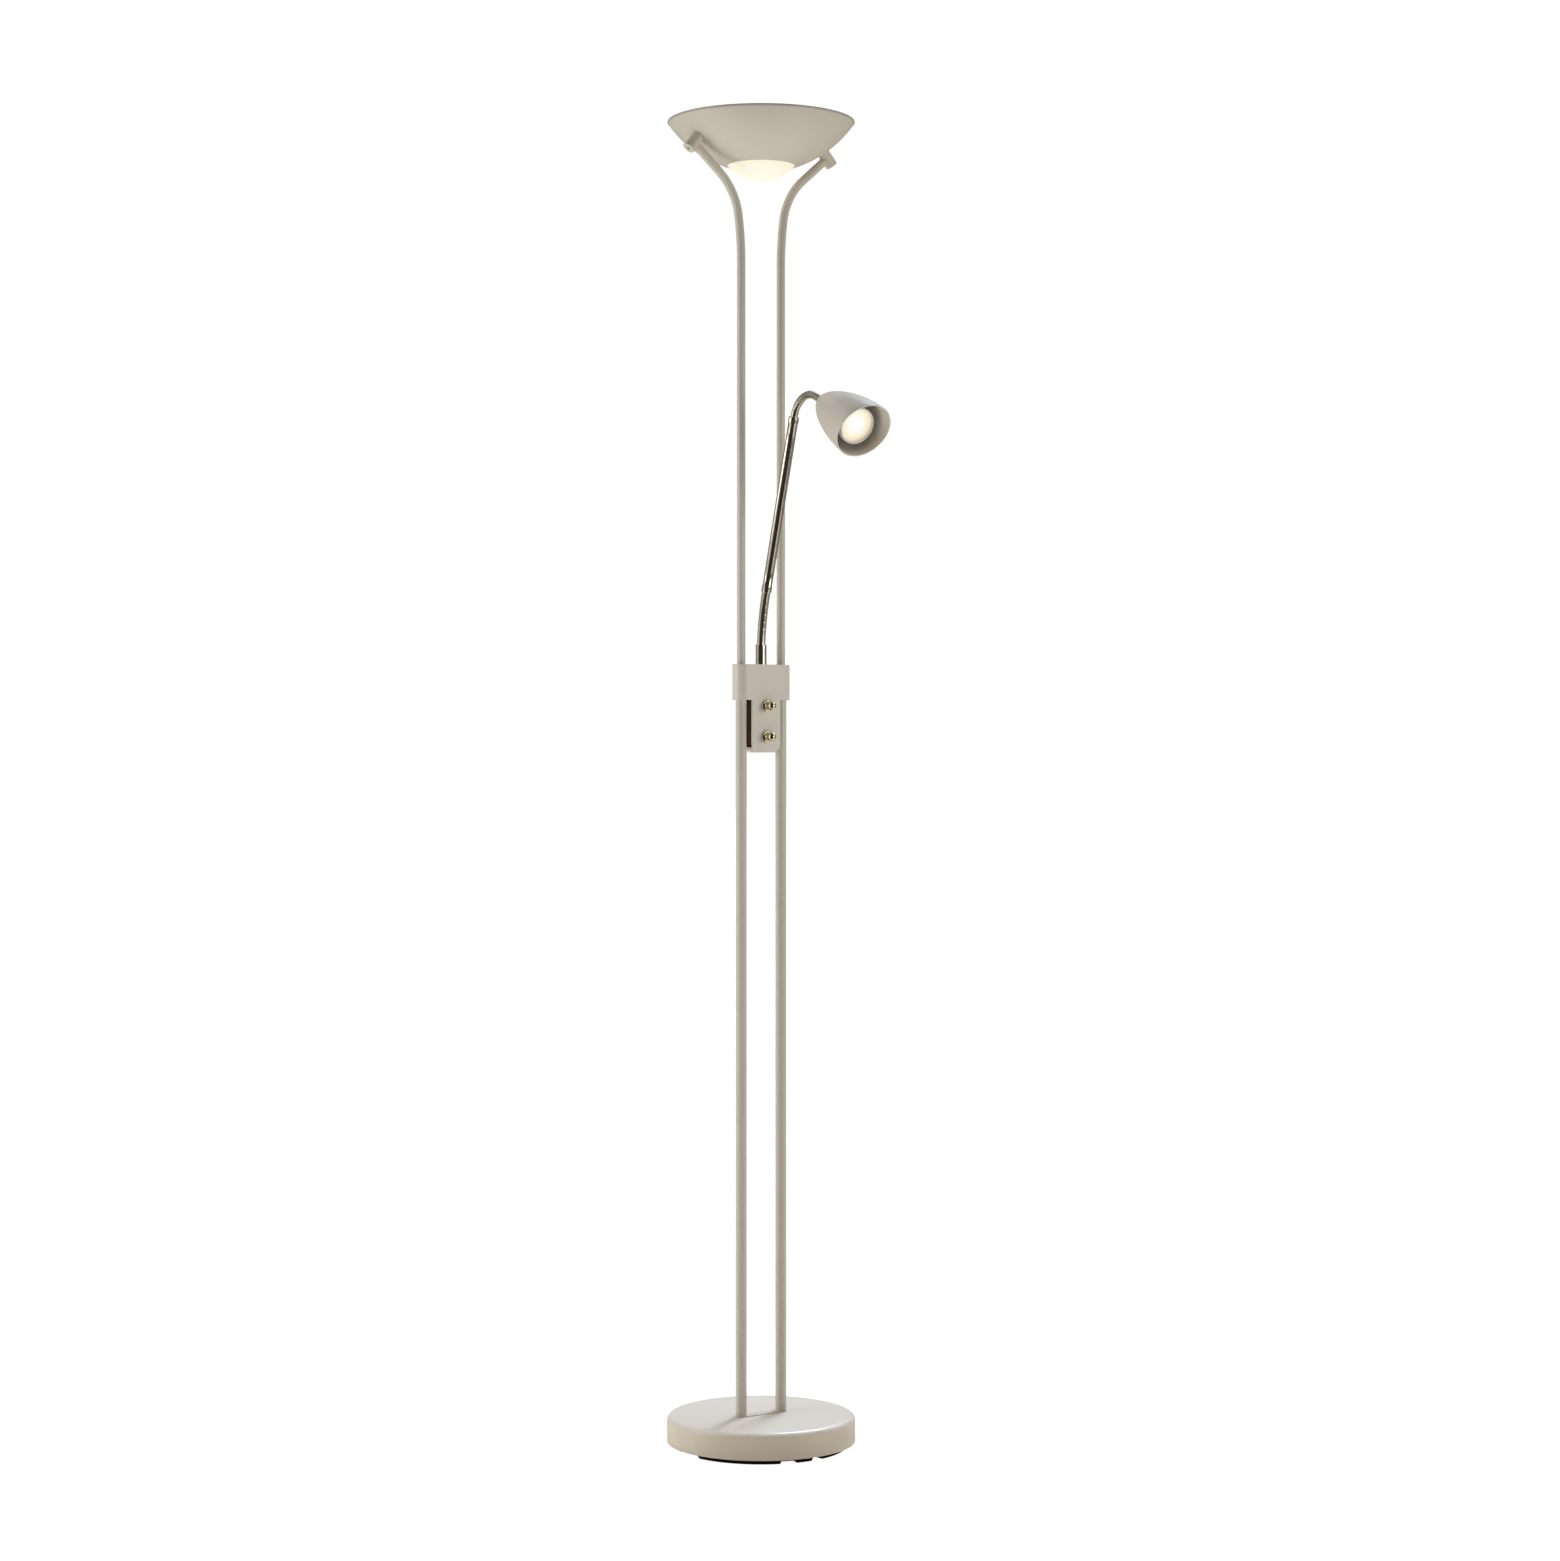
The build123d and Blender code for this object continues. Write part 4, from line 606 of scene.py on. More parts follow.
# %% Base cover
BASE_RADIUS = 0.1282
EDGE_RADIUS = 0.008
COVER_WALL = 0.0015
BASE_COLUMNS = 160
base_low, base_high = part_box("base_cover")
hem = COVER_WALL / 2
edge_centre = (BASE_RADIUS - EDGE_RADIUS, base_high.z - EDGE_RADIUS)
cover_profile = np.concatenate([
    [(r, base_high.z) for r in np.linspace(0, edge_centre[0], 14)[:-1]],
    arc(edge_centre, EDGE_RADIUS, 90, 0, 16),
    [(BASE_RADIUS, z) for z in np.linspace(edge_centre[1], base_low.z + hem, 8)[1:-1]],
    arc((BASE_RADIUS - hem, base_low.z + hem), hem, 0, -180, 9),
    arc(edge_centre, EDGE_RADIUS - COVER_WALL, 0, 90, 10),
    [(0, base_high.z - COVER_WALL)],
])
# The base cover takes the paler copy of the paint, which is painted light on it.
add_piece("base_skin", turn(cover_profile, count=BASE_COLUMNS), painted_light_paint, "stand", ["base_cover"])

# %% [markdown]
# ## Bent poles
# Each upper pole is one tube: straight, a long gentle bend, a tighter bend, and a straight end that enters
# its boss. A tube is a circle carried along that centre line. The centre line is a run of straights and
# arcs, and the circle's two directions are the line's own sideways direction and Y, because the whole line
# lies in one plane.

# %% Pole line
POLE_X = 0.0324
GENTLE_RADIUS, GENTLE_TURN = 0.450, math.radians(8.0)
TIGHT_RADIUS = 0.090
BOSS_SHARE = 0.796  # of the bowl's radius, where a boss stands on the bowl
BOSS_GAP = 0.00005
BOSS_TO_POLE = 0.012  # from the boss's foot to the pole's line
BOSS_ANGLE = math.asin(BOSS_SHARE * BOWL_RADIUS / BOWL_SPHERE)
BOSS_MIDDLE = BOWL_SPHERE + BOSS_GAP + BOSS_TO_POLE
POLE_PAST_BOSS = 0.003


def pole_line(low_z):
    """Centre line of the right upper pole as (x, z, heading), heading being the angle from upright.

    A bend of radius r from heading g to h adds r * (cos g - cos h) to x and r * (sin h - sin g) to z.
    """
    final = math.pi / 2 - BOSS_ANGLE
    end_x, end_z = BOSS_MIDDLE * math.sin(BOSS_ANGLE), bowl_centre - BOSS_MIDDLE * math.cos(BOSS_ANGLE)
    gentle = np.linspace(0, GENTLE_TURN, 18)
    tight = np.linspace(GENTLE_TURN, final, 36)
    gentle_x, gentle_z = GENTLE_RADIUS * (1 - np.cos(gentle)), GENTLE_RADIUS * np.sin(gentle)
    tight_x = gentle_x[-1] + TIGHT_RADIUS * (math.cos(GENTLE_TURN) - np.cos(tight))
    tight_z = gentle_z[-1] + TIGHT_RADIUS * (np.sin(tight) - math.sin(GENTLE_TURN))
    last = (end_x - POLE_X - tight_x[-1]) / math.sin(final)
    bend_z = end_z - last * math.cos(final) - tight_z[-1]
    reach = last + POLE_PAST_BOSS
    x = np.concatenate([[0], gentle_x, tight_x[1:], [tight_x[-1] + reach * math.sin(final)]])
    z = np.concatenate([[low_z - bend_z], gentle_z, tight_z[1:], [tight_z[-1] + reach * math.cos(final)]])
    heading = np.concatenate([[0], gentle, tight[1:], [final]])
    return POLE_X + x, bend_z + z, heading


print("pole enters its boss at", round(math.degrees(BOSS_ANGLE), 1), "degrees from level")

# %% Upper poles
POLE_RADIUS = 0.00575
POLE_WALL = 0.001
POLE_COLUMNS = 48


def pole_tube(side, low_z):
    """Tube wall carried along the pole's line: the outside up, over the end, and the inside back down."""
    x, z, heading = pole_line(low_z)
    order = np.concatenate([np.arange(len(x)), np.arange(len(x))[::-1]])
    sizes = np.repeat([POLE_RADIUS, POLE_RADIUS - POLE_WALL], len(x))
    angle = ring_angles(POLE_COLUMNS)
    sideways = sizes[:, None] * np.cos(angle)
    return np.stack([
        side * (x[order, None] + sideways * np.cos(heading[order, None])),
        sizes[:, None] * np.sin(angle),
        z[order, None] - sideways * np.sin(heading[order, None]),
    ], axis=-1)


for side, word in ((-1, "left"), (1, "right")):
    node = "upper_pole_" + word
    grid = pole_tube(side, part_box(node)[0].z)
    add_piece("bent_pole_" + word, grid, paint, "stand", [node], loop_rows=True)

# %% [markdown]
# ## Dimmer knobs
# The knobs are turned on a lathe: a rounded rim next to the cover, a waist for the fingertips, and a ball
# at the end. The rim and the ball are circular arcs, and the waist is a smooth curve between them, written
# as a blend of two radii that eases out.

# %% Knobs
KNOB_RIM = 0.0079
KNOB_RIM_HALF = 0.0015
KNOB_WAIST = 0.0043
KNOB_BALL = 0.0057
KNOB_COLUMNS = 64
RECESS_RADIUS, RECESS_DEPTH, RECESS_EDGE = 0.0062, 0.0022, 0.0002
WAIST_EASE, WAIST_DRAW = 2.4, 1.4


def knob_profile(length):
    """Hollow back, rim arc, eased waist and ball end of a knob, from the cover outwards.

    At step t of the waist the radius has closed by 1 - (1 - t)^ease and the height has grown by t^draw.
    """
    neck = KNOB_RIM - KNOB_RIM_HALF
    ball_z = length - KNOB_BALL
    waist_z = ball_z - math.sqrt(KNOB_BALL**2 - KNOB_WAIST**2)
    hollow = [(0, RECESS_DEPTH), (RECESS_RADIUS, RECESS_DEPTH), (RECESS_RADIUS, RECESS_EDGE)]
    rim = arc((neck, KNOB_RIM_HALF), KNOB_RIM_HALF, -90, 90, 15)
    step = np.linspace(0, 1, 16)[1:-1]
    waist = np.stack([neck - (neck - KNOB_WAIST) * (1 - (1 - step) ** WAIST_EASE),
                      2 * KNOB_RIM_HALF + (waist_z - 2 * KNOB_RIM_HALF) * step**WAIST_DRAW], axis=-1)
    start = math.degrees(math.atan2(waist_z - ball_z, KNOB_WAIST))
    ball = arc((0, ball_z), KNOB_BALL, start, 90, 22)
    return np.concatenate([hollow, rim, waist, ball])


for level in ("upper", "lower"):
    low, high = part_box(level + "_knob")
    seat = (0, high.y, (low.z + high.z) / 2)
    grid = turn(knob_profile(high.y - low.y), seat, (0, -1, 0), KNOB_COLUMNS)
    add_piece(level + "_dial", grid, knob_nickel, level + "_dimmer_knob", [level + "_knob"])

# %% [markdown]
# ## Goosenecks
# A gooseneck is a steel spring wound with a second wire in its grooves, and it stays where it is bent. On
# this model it is a row of short ribbed links on hidden ball joints, so that it can move. Each link is one
# profile carried along the neck's own curve. The curve leans forward at a steady rate, so a place on it is
# a distance, and a ring of a given radius can be put square to the curve at any distance.

# %% Neck curve
pivots = {joint["name"]: np.array(joint["pos_m"]) for joint in frame["joints"]}


class NeckCurve:
    """Curve in the plane x = 0 that leans further forward at a steady rate and then runs straight.

    At distance s on the arc the lean is lean0 + s / radius, the forward reach grows by
    radius * (cos lean0 - cos lean) and the height by radius * (sin lean - sin lean0).
    """

    def __init__(self, start, lean, radius, arc_length):
        self.start, self.lean, self.radius, self.arc_length = start, lean, radius, arc_length

    def carry(self, outline, columns):
        """Grid of rings square to the curve, one for each (distance, radius) of an outline."""
        along, sizes = outline.T
        on_arc = np.clip(along, 0, self.arc_length)
        lean = self.lean + on_arc / self.radius
        rest = along - on_arc
        forward = self.radius * (np.cos(self.lean) - np.cos(lean)) + rest * np.sin(lean)
        rise = self.radius * (np.sin(lean) - np.sin(self.lean)) + rest * np.cos(lean)
        angle = ring_angles(columns)
        sideways = sizes[:, None] * np.cos(angle)
        outward = sizes[:, None] * np.sin(angle)
        return np.stack([
            sideways,
            self.start[1] - forward[:, None] - outward * np.cos(lean)[:, None],
            self.start[2] + rise[:, None] - outward * np.sin(lean)[:, None],
        ], axis=-1)


def unit(lean):
    """Direction of the curve at a lean from upright: (0, -sin lean, cos lean)."""
    return np.array((0, -math.sin(lean), math.cos(lean)))


print("pivots", len(pivots))

# %% [markdown]
# ## The outline of a link
# A link's outline starts with the ball and its stem in the link's foot, and the hollow round them. Then
# come the ribs, and the socket for the next ball at the head. A rib is flat on top with round shoulders,
# like a wire that was rolled while it was wound. The shoulders catch a thin highlight, and a square rib
# wouldn't. Between two links the hose goes on, so its core shows there as one more groove.

# %% Neck sizes
LINKS = 7
RIBS_PER_LINK = 4
RIB_GROOVE = 0.00145
RIB_HEIGHT = 0.0007
RIB_POWER = 5
SOCKET_LIP = 0.0012
BALL_GAP = 0.0003
WIRE_BORE = 0.0012
CORE_INSET = 0.0001  # below the floor of the grooves
CORE_STRAIGHT = 0.85  # share of a groove over which the core is straight
CORE_REACH = 0.00105  # from the foot of the next link to the top of the dome
DOME_GAP = 0.00015  # between a dome and its hollow


def round_run(pivot, size, start, stop, count):
    """Part of a sphere about a pivot: (pivot + size * cos a, size * sin a), a from the neck's line."""
    angle = np.linspace(start, stop, count)
    return np.stack([pivot + size * np.cos(angle), size * np.sin(angle)], axis=-1)


class NeckSizes:
    """Sizes of one gooseneck and the outlines of its links and cores."""

    def __init__(self, length, crest, ball, stem):
        self.crest, self.ball, self.stem = crest, ball, stem
        self.spacing = (length - RIB_GROOVE) / LINKS
        self.core = crest - RIB_HEIGHT - CORE_INSET
        self.dome = math.hypot(self.core, SOCKET_LIP + CORE_STRAIGHT * RIB_GROOVE)

    def pivot(self, number):
        """Distance along the neck of a pivot. Pivot 0 is in the piece below the first link."""
        return number * self.spacing - SOCKET_LIP

    def foot_run(self, number):
        """Ball and stem above a pivot, and the hollow round them that takes the dome of the core below."""
        pivot = self.pivot(number)
        bore = math.pi - math.asin(WIRE_BORE / self.ball)
        ball = round_run(pivot, self.ball, bore, math.asin(self.stem / self.ball), 14)
        size = self.dome + DOME_GAP
        mouth = math.acos((SOCKET_LIP + RIB_GROOVE) / size)
        hollow = round_run(pivot, size, math.asin(self.stem / size), mouth, 12)
        return np.concatenate([ball, hollow])

    def socket_run(self, pivot):
        """Socket round the next pivot, from its lip down to the wire bore."""
        size = self.ball + BALL_GAP
        return round_run(pivot, size, math.acos(SOCKET_LIP / size), math.pi - math.asin(WIRE_BORE / size), 12)

    def rib_run(self, first):
        """Ribs with flat grooves between them.

        A rib's outline is a superellipse: at step t from -1 to 1 it has (1 - |t|^p)^(1/p) of its height.
        """
        pitch = self.spacing / RIBS_PER_LINK
        width = pitch - RIB_GROOVE
        step = -np.cos(np.linspace(0, np.pi, 11))
        rise = RIB_HEIGHT * (1 - np.abs(step) ** RIB_POWER) ** (1 / RIB_POWER)
        along = first + np.arange(RIBS_PER_LINK)[:, None] * pitch + (step + 1) / 2 * width
        sizes = np.broadcast_to(self.crest - RIB_HEIGHT + rise, along.shape)
        return np.stack([along.ravel(), sizes.ravel()], axis=-1)

    def link_profile(self, number):
        """Whole outline of a link as (distance, radius), outside up and inside back."""
        first = (number - 1) * self.spacing + RIB_GROOVE
        socket = self.socket_run(self.pivot(number))
        return np.concatenate([self.foot_run(number - 1), self.rib_run(first), socket])

    def core_profile(self, number):
        """Outline of the core over a pivot: straight, then a dome about the pivot, then back down inside."""
        pivot = self.pivot(number)
        top = SOCKET_LIP + RIB_GROOVE + CORE_REACH
        dome = round_run(pivot, self.dome, math.asin(self.core / self.dome), math.acos(top / self.dome), 8)
        inner = self.ball + BALL_GAP
        foot = pivot + SOCKET_LIP
        return np.concatenate([[(foot, inner), (foot, self.core)], dome, [(pivot + top, inner)]])


print("ribs on a neck", LINKS * RIBS_PER_LINK)

# %% Both necks
LOWER_LEAN = math.radians(4.0)
LOWER_LENGTH = 0.072
UPPER_RADIUS = 0.037
lower_sizes = NeckSizes(LOWER_LENGTH, crest=0.0061, ball=0.0034, stem=0.0024)
lower_curve = NeckCurve(pivots["lower_bend_1"] + SOCKET_LIP * unit(LOWER_LEAN), LOWER_LEAN,
                        LOWER_LENGTH / (ARM_LEAN - LOWER_LEAN), LOWER_LENGTH)
upper_turn = math.pi / 2 + HEAD_AXIS_DIP - ARM_LEAN
upper_length = LINKS * np.linalg.norm(pivots["head_swing_4"] - pivots["head_tilt_4"]) + RIB_GROOVE
upper_sizes = NeckSizes(upper_length, crest=0.0052, ball=0.0029, stem=0.0021)
upper_curve = NeckCurve(pivots["head_tilt_1"] + SOCKET_LIP * unit(ARM_LEAN), ARM_LEAN, UPPER_RADIUS,
                        UPPER_RADIUS * upper_turn)
print("link spacing", round(lower_sizes.spacing, 5), "and", round(upper_sizes.spacing, 5))

# %% Neck links
NECK_COLUMNS = 48
NECK_SHARP = 50
necks = (("lower", lower_curve, lower_sizes), ("upper", upper_curve, upper_sizes))


def add_run(name, curve, outline, finish, body, nodes=(), columns=NECK_COLUMNS):
    """Add the closed skin that an outline of (distance, radius) makes along a neck's curve."""
    grid = curve.carry(outline, columns)
    add_piece(name, grid, finish, body, nodes, loop_rows=True, sharp=NECK_SHARP)


for word, curve, sizes in necks:
    for number in range(1, LINKS + 1):
        add_run("%s_ribs_%d" % (word, number), curve, sizes.link_profile(number), arm_nickel,
                "%s_link_%d" % (word, number), ["%s_neck_link_%d" % (word, number)])

# %% [markdown]
# ## Neck core
# A short core sits on each link's head, and on the two pieces that the necks start from. Its dome reaches
# into the hollow in the next link's foot. Dome and hollow are parts of spheres about the same pivot, so one
# turns in the other, and no gap opens when the neck bends. A sleeve that bends with both neighbours is
# another way, but it can be stretched out of its form at the end of a bend, and a stiff core can't.

# %% Neck core
body_below = {"lower": "stand", "upper": "reading_arm"}
for word, curve, sizes in necks:
    for number in range(LINKS + 1):
        body = "%s_link_%d" % (word, number) if number else body_below[word]
        add_run("%s_core_%d" % (word, number + 1), curve, sizes.core_profile(number), arm_nickel, body)

# %% [markdown]
# ## The arm tube
# Between the two goosenecks runs a smooth tube. Both ends are crimped over a plug, which leaves a slightly
# thicker barrel with rounded shoulders. The profile runs from the ball at the foot, over both barrels, to
# the socket at the top, and back through the wire bore.

# %% Arm tube
TUBE_RADIUS = 0.0065
TUBE_COLUMNS = 64
CRIMP_RADIUS = 0.0070
CRIMP_LENGTH = 0.009
CRIMP_POWER = 0.2
tube_foot = LOWER_LENGTH
foot_point = lower_curve.carry(np.array([(tube_foot, 0)]), 1)[0, 0]
tube_head = tube_foot + np.linalg.norm(pivots["head_tilt_1"] - foot_point) + SOCKET_LIP


def crimp(start, stop):
    """Barrel with eased shoulders: the radius swells by a sine to the power of one fifth."""
    step = np.linspace(0, 1, 19)
    swell = np.clip(np.sin(np.pi * step), 0, 1) ** CRIMP_POWER
    sizes = TUBE_RADIUS + (CRIMP_RADIUS - TUBE_RADIUS) * swell
    return np.stack([start + (stop - start) * step, sizes], axis=-1)


def tube_outline():
    """Outline of the arm tube as (distance, radius)."""
    foot = crimp(tube_foot, tube_foot + CRIMP_LENGTH)
    head = crimp(tube_head - CRIMP_LENGTH, tube_head)
    middle = [(d, TUBE_RADIUS) for d in np.linspace(tube_foot + CRIMP_LENGTH, tube_head - CRIMP_LENGTH, 12)]
    socket = upper_sizes.socket_run(tube_head - SOCKET_LIP)
    return np.concatenate([lower_sizes.foot_run(LINKS), foot, middle, head, socket])


add_run("arm_tube", lower_curve, tube_outline(), arm_nickel, "reading_arm", ["reading_tube"],
        columns=TUBE_COLUMNS)

# %% [markdown]
# ## The head's stub
# The upper gooseneck ends in a turned stub: a short barrel as thick as the neck, with a tail that goes
# through the back of the shade and takes the nut. It is one more profile on the neck's curve, with the same
# joint in its foot.

# %% Head stub
STUB_LENGTH = 0.003
STUB_EASE = 0.0003
TAIL_RADIUS = 0.003
TAIL_LENGTH = 0.013


def stub_outline():
    """Outline of the stub as (distance, radius): joint, barrel with an eased edge, tail and wire bore."""
    back = upper_length + STUB_LENGTH
    barrel = [(upper_length, upper_sizes.crest - STUB_EASE), (upper_length + STUB_EASE, upper_sizes.crest),
              (back, upper_sizes.crest), (back, TAIL_RADIUS), (back + TAIL_LENGTH, TAIL_RADIUS),
              (back + TAIL_LENGTH, WIRE_BORE)]
    return np.concatenate([upper_sizes.foot_run(LINKS), barrel])


add_run("stub_barrel", upper_curve, stub_outline(), turned_nickel, "reading_head", ["head_stub"],
        columns=TUBE_COLUMNS)

# %% [markdown]
# ## The reading shade
# The shade is a bell spun from sheet, and its mouth is cut on a slant, so the upper lip reaches further out
# than the lower one and keeps the glare from a reader's eyes. The bell's radius follows a superellipse:
# blunt at the neck and almost straight at the mouth. Each column of the grid ends where its own line meets
# the slanted plane, and a small roll joins the outside to the inside there.

# %% Shade
SHADE_LENGTH = 0.110
SHADE_RADIUS = 0.0392
SHADE_POWER = 1.75
SHADE_WALL = 0.001
SHADE_FLAT = 0.00275
SHADE_COLUMNS = 144
ROW_POWER = 1.5  # puts more rows where the bell curves most
STUB_HOLE = 0.0031
LIP_RADIUS = 0.0008
LIP_DROP, LIP_INSET = 0.6 * LIP_RADIUS, 0.75 * LIP_RADIUS
MOUTH_DIP = math.radians(39.0)
MOUTH_SLANT = MOUTH_DIP - HEAD_AXIS_DIP
PIVOT_TO_TIP = RIB_GROOVE + SOCKET_LIP + STUB_LENGTH - SHADE_FLAT
head_axis = np.array((0, -math.cos(HEAD_AXIS_DIP), -math.sin(HEAD_AXIS_DIP)))
head_up = np.array((0, -math.sin(HEAD_AXIS_DIP), math.cos(HEAD_AXIS_DIP)))
head_side = np.array((1.0, 0, 0))
head_tip = pivots["head_swing_4"] + PIVOT_TO_TIP * head_axis


def bell_radius(along, inset):
    """Bell's radius at a distance from its tip: R * (1 - (1 - share)^p)^(1/p), constant past the mouth."""
    share = np.clip((along - inset) / (SHADE_LENGTH - inset), 0, 1)
    return (SHADE_RADIUS - inset) * (1 - (1 - share) ** SHADE_POWER) ** (1 / SHADE_POWER)


def shade_grid():
    """Bell skin: hole edge, outside, rolled lip, inside and hole edge again.

    The column at angle a ends at the distance length + radius * sin a * tan slant from the tip.
    """
    angle = ring_angles(SHADE_COLUMNS)
    mouth = SHADE_LENGTH + SHADE_RADIUS * np.sin(angle) * math.tan(MOUTH_SLANT)
    share = (np.linspace(0, 1, 48) ** ROW_POWER)[:, None]
    outer = SHADE_FLAT + share * (mouth - SHADE_FLAT)
    inner = SHADE_FLAT + SHADE_WALL + share[::-1] * (mouth - SHADE_FLAT - SHADE_WALL)
    lip_angle = np.radians(np.linspace(-60, 240, 11))[:, None]
    lip_along = mouth + LIP_RADIUS * np.sin(lip_angle) - LIP_DROP
    lip_size = np.broadcast_to(SHADE_RADIUS - LIP_INSET + LIP_RADIUS * np.cos(lip_angle), lip_along.shape)
    flat = np.full((1, SHADE_COLUMNS), SHADE_FLAT)
    hole = np.full((1, SHADE_COLUMNS), STUB_HOLE)
    along = np.concatenate([flat, outer[:-1], lip_along, inner[1:], flat + SHADE_WALL])
    outside, inside = bell_radius(outer[:-1], 0), bell_radius(inner[1:], SHADE_WALL)
    sizes = np.concatenate([hole, outside, lip_size, inside, hole])
    spokes = np.cos(angle)[:, None] * head_side + np.sin(angle)[:, None] * head_up
    return head_tip + along[..., None] * head_axis + sizes[..., None] * spokes


shade_mesh = add_piece("bell_shade", shade_grid(), paint, "reading_head", ["reading_shade"],
                       loop_rows=True)

# %% [markdown]
# ## Inside the shade
# The inside takes a lighter cream: partly the inside's own paint, partly painted light from the bulb.
# Beside the bulb a painted shade darkens it, where the bulb's body stands in the way of its light, and the
# shade fades out towards the mouth. The distance along the head's axis drives that.

# %% Shade inside
# A lighter cream than outside, partly the inside's own paint and partly painted light from the bulb.
LIT_INSIDE_TONE = linear(240, 234, 220)
DEPTH_FADE_FROM, DEPTH_FADE_TO = 0.74 * SHADE_LENGTH, 0.90 * SHADE_LENGTH
DEPTH_SHADE = 0.65


def painted_depth_shade(paint):
    """Painted shade beside the bulb that fades out before the mouth, by the distance along the head's axis."""
    local = paint.place(turn_x=HEAD_AXIS_DIP + math.pi / 2, centre=tuple(head_tip))
    return paint.fade(paint.along(local, "Z"), DEPTH_FADE_FROM, DEPTH_FADE_TO, DEPTH_SHADE, 0.0)


def paint_inside(mesh, finish):
    """Give the faces that look at the head's axis their own finish."""
    count = len(mesh.polygons)
    middles, normals = np.empty(3 * count), np.empty(3 * count)
    mesh.polygons.foreach_get("center", middles)
    mesh.polygons.foreach_get("normal", normals)
    spokes = middles.reshape(-1, 3) - head_tip
    spokes = spokes - (spokes @ head_axis)[:, None] * head_axis
    inside = (spokes * normals.reshape(-1, 3)).sum(axis=1) < 0
    mesh.materials.append(finish)
    mesh.polygons.foreach_set("material_index", inside.astype(np.int32))
    print("faces inside the shade", int(inside.sum()))


# The inside finish has the lighter tone and the painted shade beside the bulb.
paint_inside(shade_mesh, cream_paint("shade_inside_lit_and_shaded", LIT_INSIDE_TONE, shade=painted_depth_shade))

# %% [markdown]
# ## The spot bulb
# The bulb in the reading light has a white body that flares to a rim, and a slightly domed lens inside that
# rim. Body and lens are two turned profiles on the head's axis. The lens is its own piece, because it
# glows. The body glows a little as well, as thin white glass in front of a light does.

# %% Spot bulb
SPOT_RADIUS = 0.025
SPOT_LENGTH = 0.052
SPOT_SET_BACK = 0.0155
SPOT_FACE = SHADE_LENGTH - SPOT_SET_BACK
SPOT_BACK = SPOT_FACE - SPOT_LENGTH
CAP_RADIUS, CAP_LENGTH, CAP_EASE = 0.013, 0.016, 0.0008
FLARE_POWER = 0.7
RIM_LENGTH, RIM_ROLL = 0.007, 0.0011
LENS_SEAT, LENS_GAP = 0.0024, 0.0002  # below the rim's top, and round the lens
SPOT_GLOW = 0.10


def spot_profile():
    """Cap, flare, rolled rim and seat of the bulb's body: at step t the flare has grown by t^power."""
    step = np.linspace(0, 1, 14)[1:]
    cap_end, rim_start, seat = SPOT_BACK + CAP_LENGTH, SPOT_FACE - RIM_LENGTH, SPOT_FACE - LENS_SEAT
    flare = np.stack([CAP_RADIUS + (SPOT_RADIUS - CAP_RADIUS) * step**FLARE_POWER,
                      cap_end + (rim_start - cap_end) * step], axis=-1)
    return np.concatenate([
        [(0, SPOT_BACK), (CAP_RADIUS - CAP_EASE, SPOT_BACK)],
        arc((CAP_RADIUS - CAP_EASE, SPOT_BACK + CAP_EASE), CAP_EASE, -90, 0, 5),
        [(CAP_RADIUS, cap_end)],
        flare,
        arc((SPOT_RADIUS - RIM_ROLL, SPOT_FACE - RIM_ROLL), RIM_ROLL, 0, 180, 11),
        [(LENS_RADIUS + LENS_GAP, seat), (0, seat)],
    ])


def bulb_white():
    """White glass with a faint haze in its colour and a little glow."""
    body = Finish("bulb_white")
    haze = body.noise(body.place(), 90.0, 2.0)
    return body.surface(Base_Color=body.mix(haze, linear(196, 190, 186), linear(208, 203, 198)),
                        Roughness=0.22 + 0.15 * haze,
                        Emission_Color=body.mix(haze, linear(250, 240, 222), linear(255, 248, 234)),
                        Emission_Strength=SPOT_GLOW)


spot_white = bulb_white()
spot_grid = turn(spot_profile(), head_tip, head_axis)
add_piece("spot_body", spot_grid, spot_white, "reading_head", ["spot_bulb"])

# %% Spot lens piece
LENS_LIFT = 0.0001
LENS_CROWN, LENS_FALL = 0.0028, 0.0018  # height at the middle, and what it loses at the edge
dome = np.linspace(0, 1, 14)
lens_seat = SPOT_FACE - LENS_SEAT
lens_profile = np.concatenate([
    np.stack([LENS_RADIUS * dome, lens_seat + LENS_CROWN - LENS_FALL * dome**2], axis=-1),
    [(LENS_RADIUS, lens_seat + LENS_LIFT), (0, lens_seat + LENS_LIFT)],
])
lens_grid = turn(lens_profile, head_tip, head_axis)
add_piece("spot_glass", lens_grid, lens_glass, "reading_head", ["spot_lens"])

# %% [markdown]
# ## Finishes of the solids that stay
# The remaining pieces already have their right shape as solids: collar, dimmer box, bosses, straight poles,
# screws and everything inside. They keep their meshes and only change their finish, which the record names
# by slot. The collar and the dimmer cover take the paler copy of the paint, which is painted light.

# %% Finishes by slot
finish_of_slot = {
    "cream_paint": paint,
    "black_rubber": rubber,
    "cast_iron": iron,
    "zinc_steel": zinc,
    "nickel": turned_nickel,
    "frosted_glass": dish_glass,
    "bulb_glass": quartz_glass,
    "ceramic": porcelain,
    "black_plastic": plastic,
    "bulb_white": spot_white,
    "bulb_lens": lens_glass,
}
# The collar and the dimmer cover take the paler copy of the paint, which is painted light on them.
finish_of_node = {"collar": painted_light_paint, "dimmer_cover": painted_light_paint}
for name, node in frame["nodes"].items():
    node.data.materials.clear()
    node.data.materials.append(finish_of_node.get(name, finish_of_slot[slot_of[name]]))
print("solids with a new finish", len(frame["nodes"]))

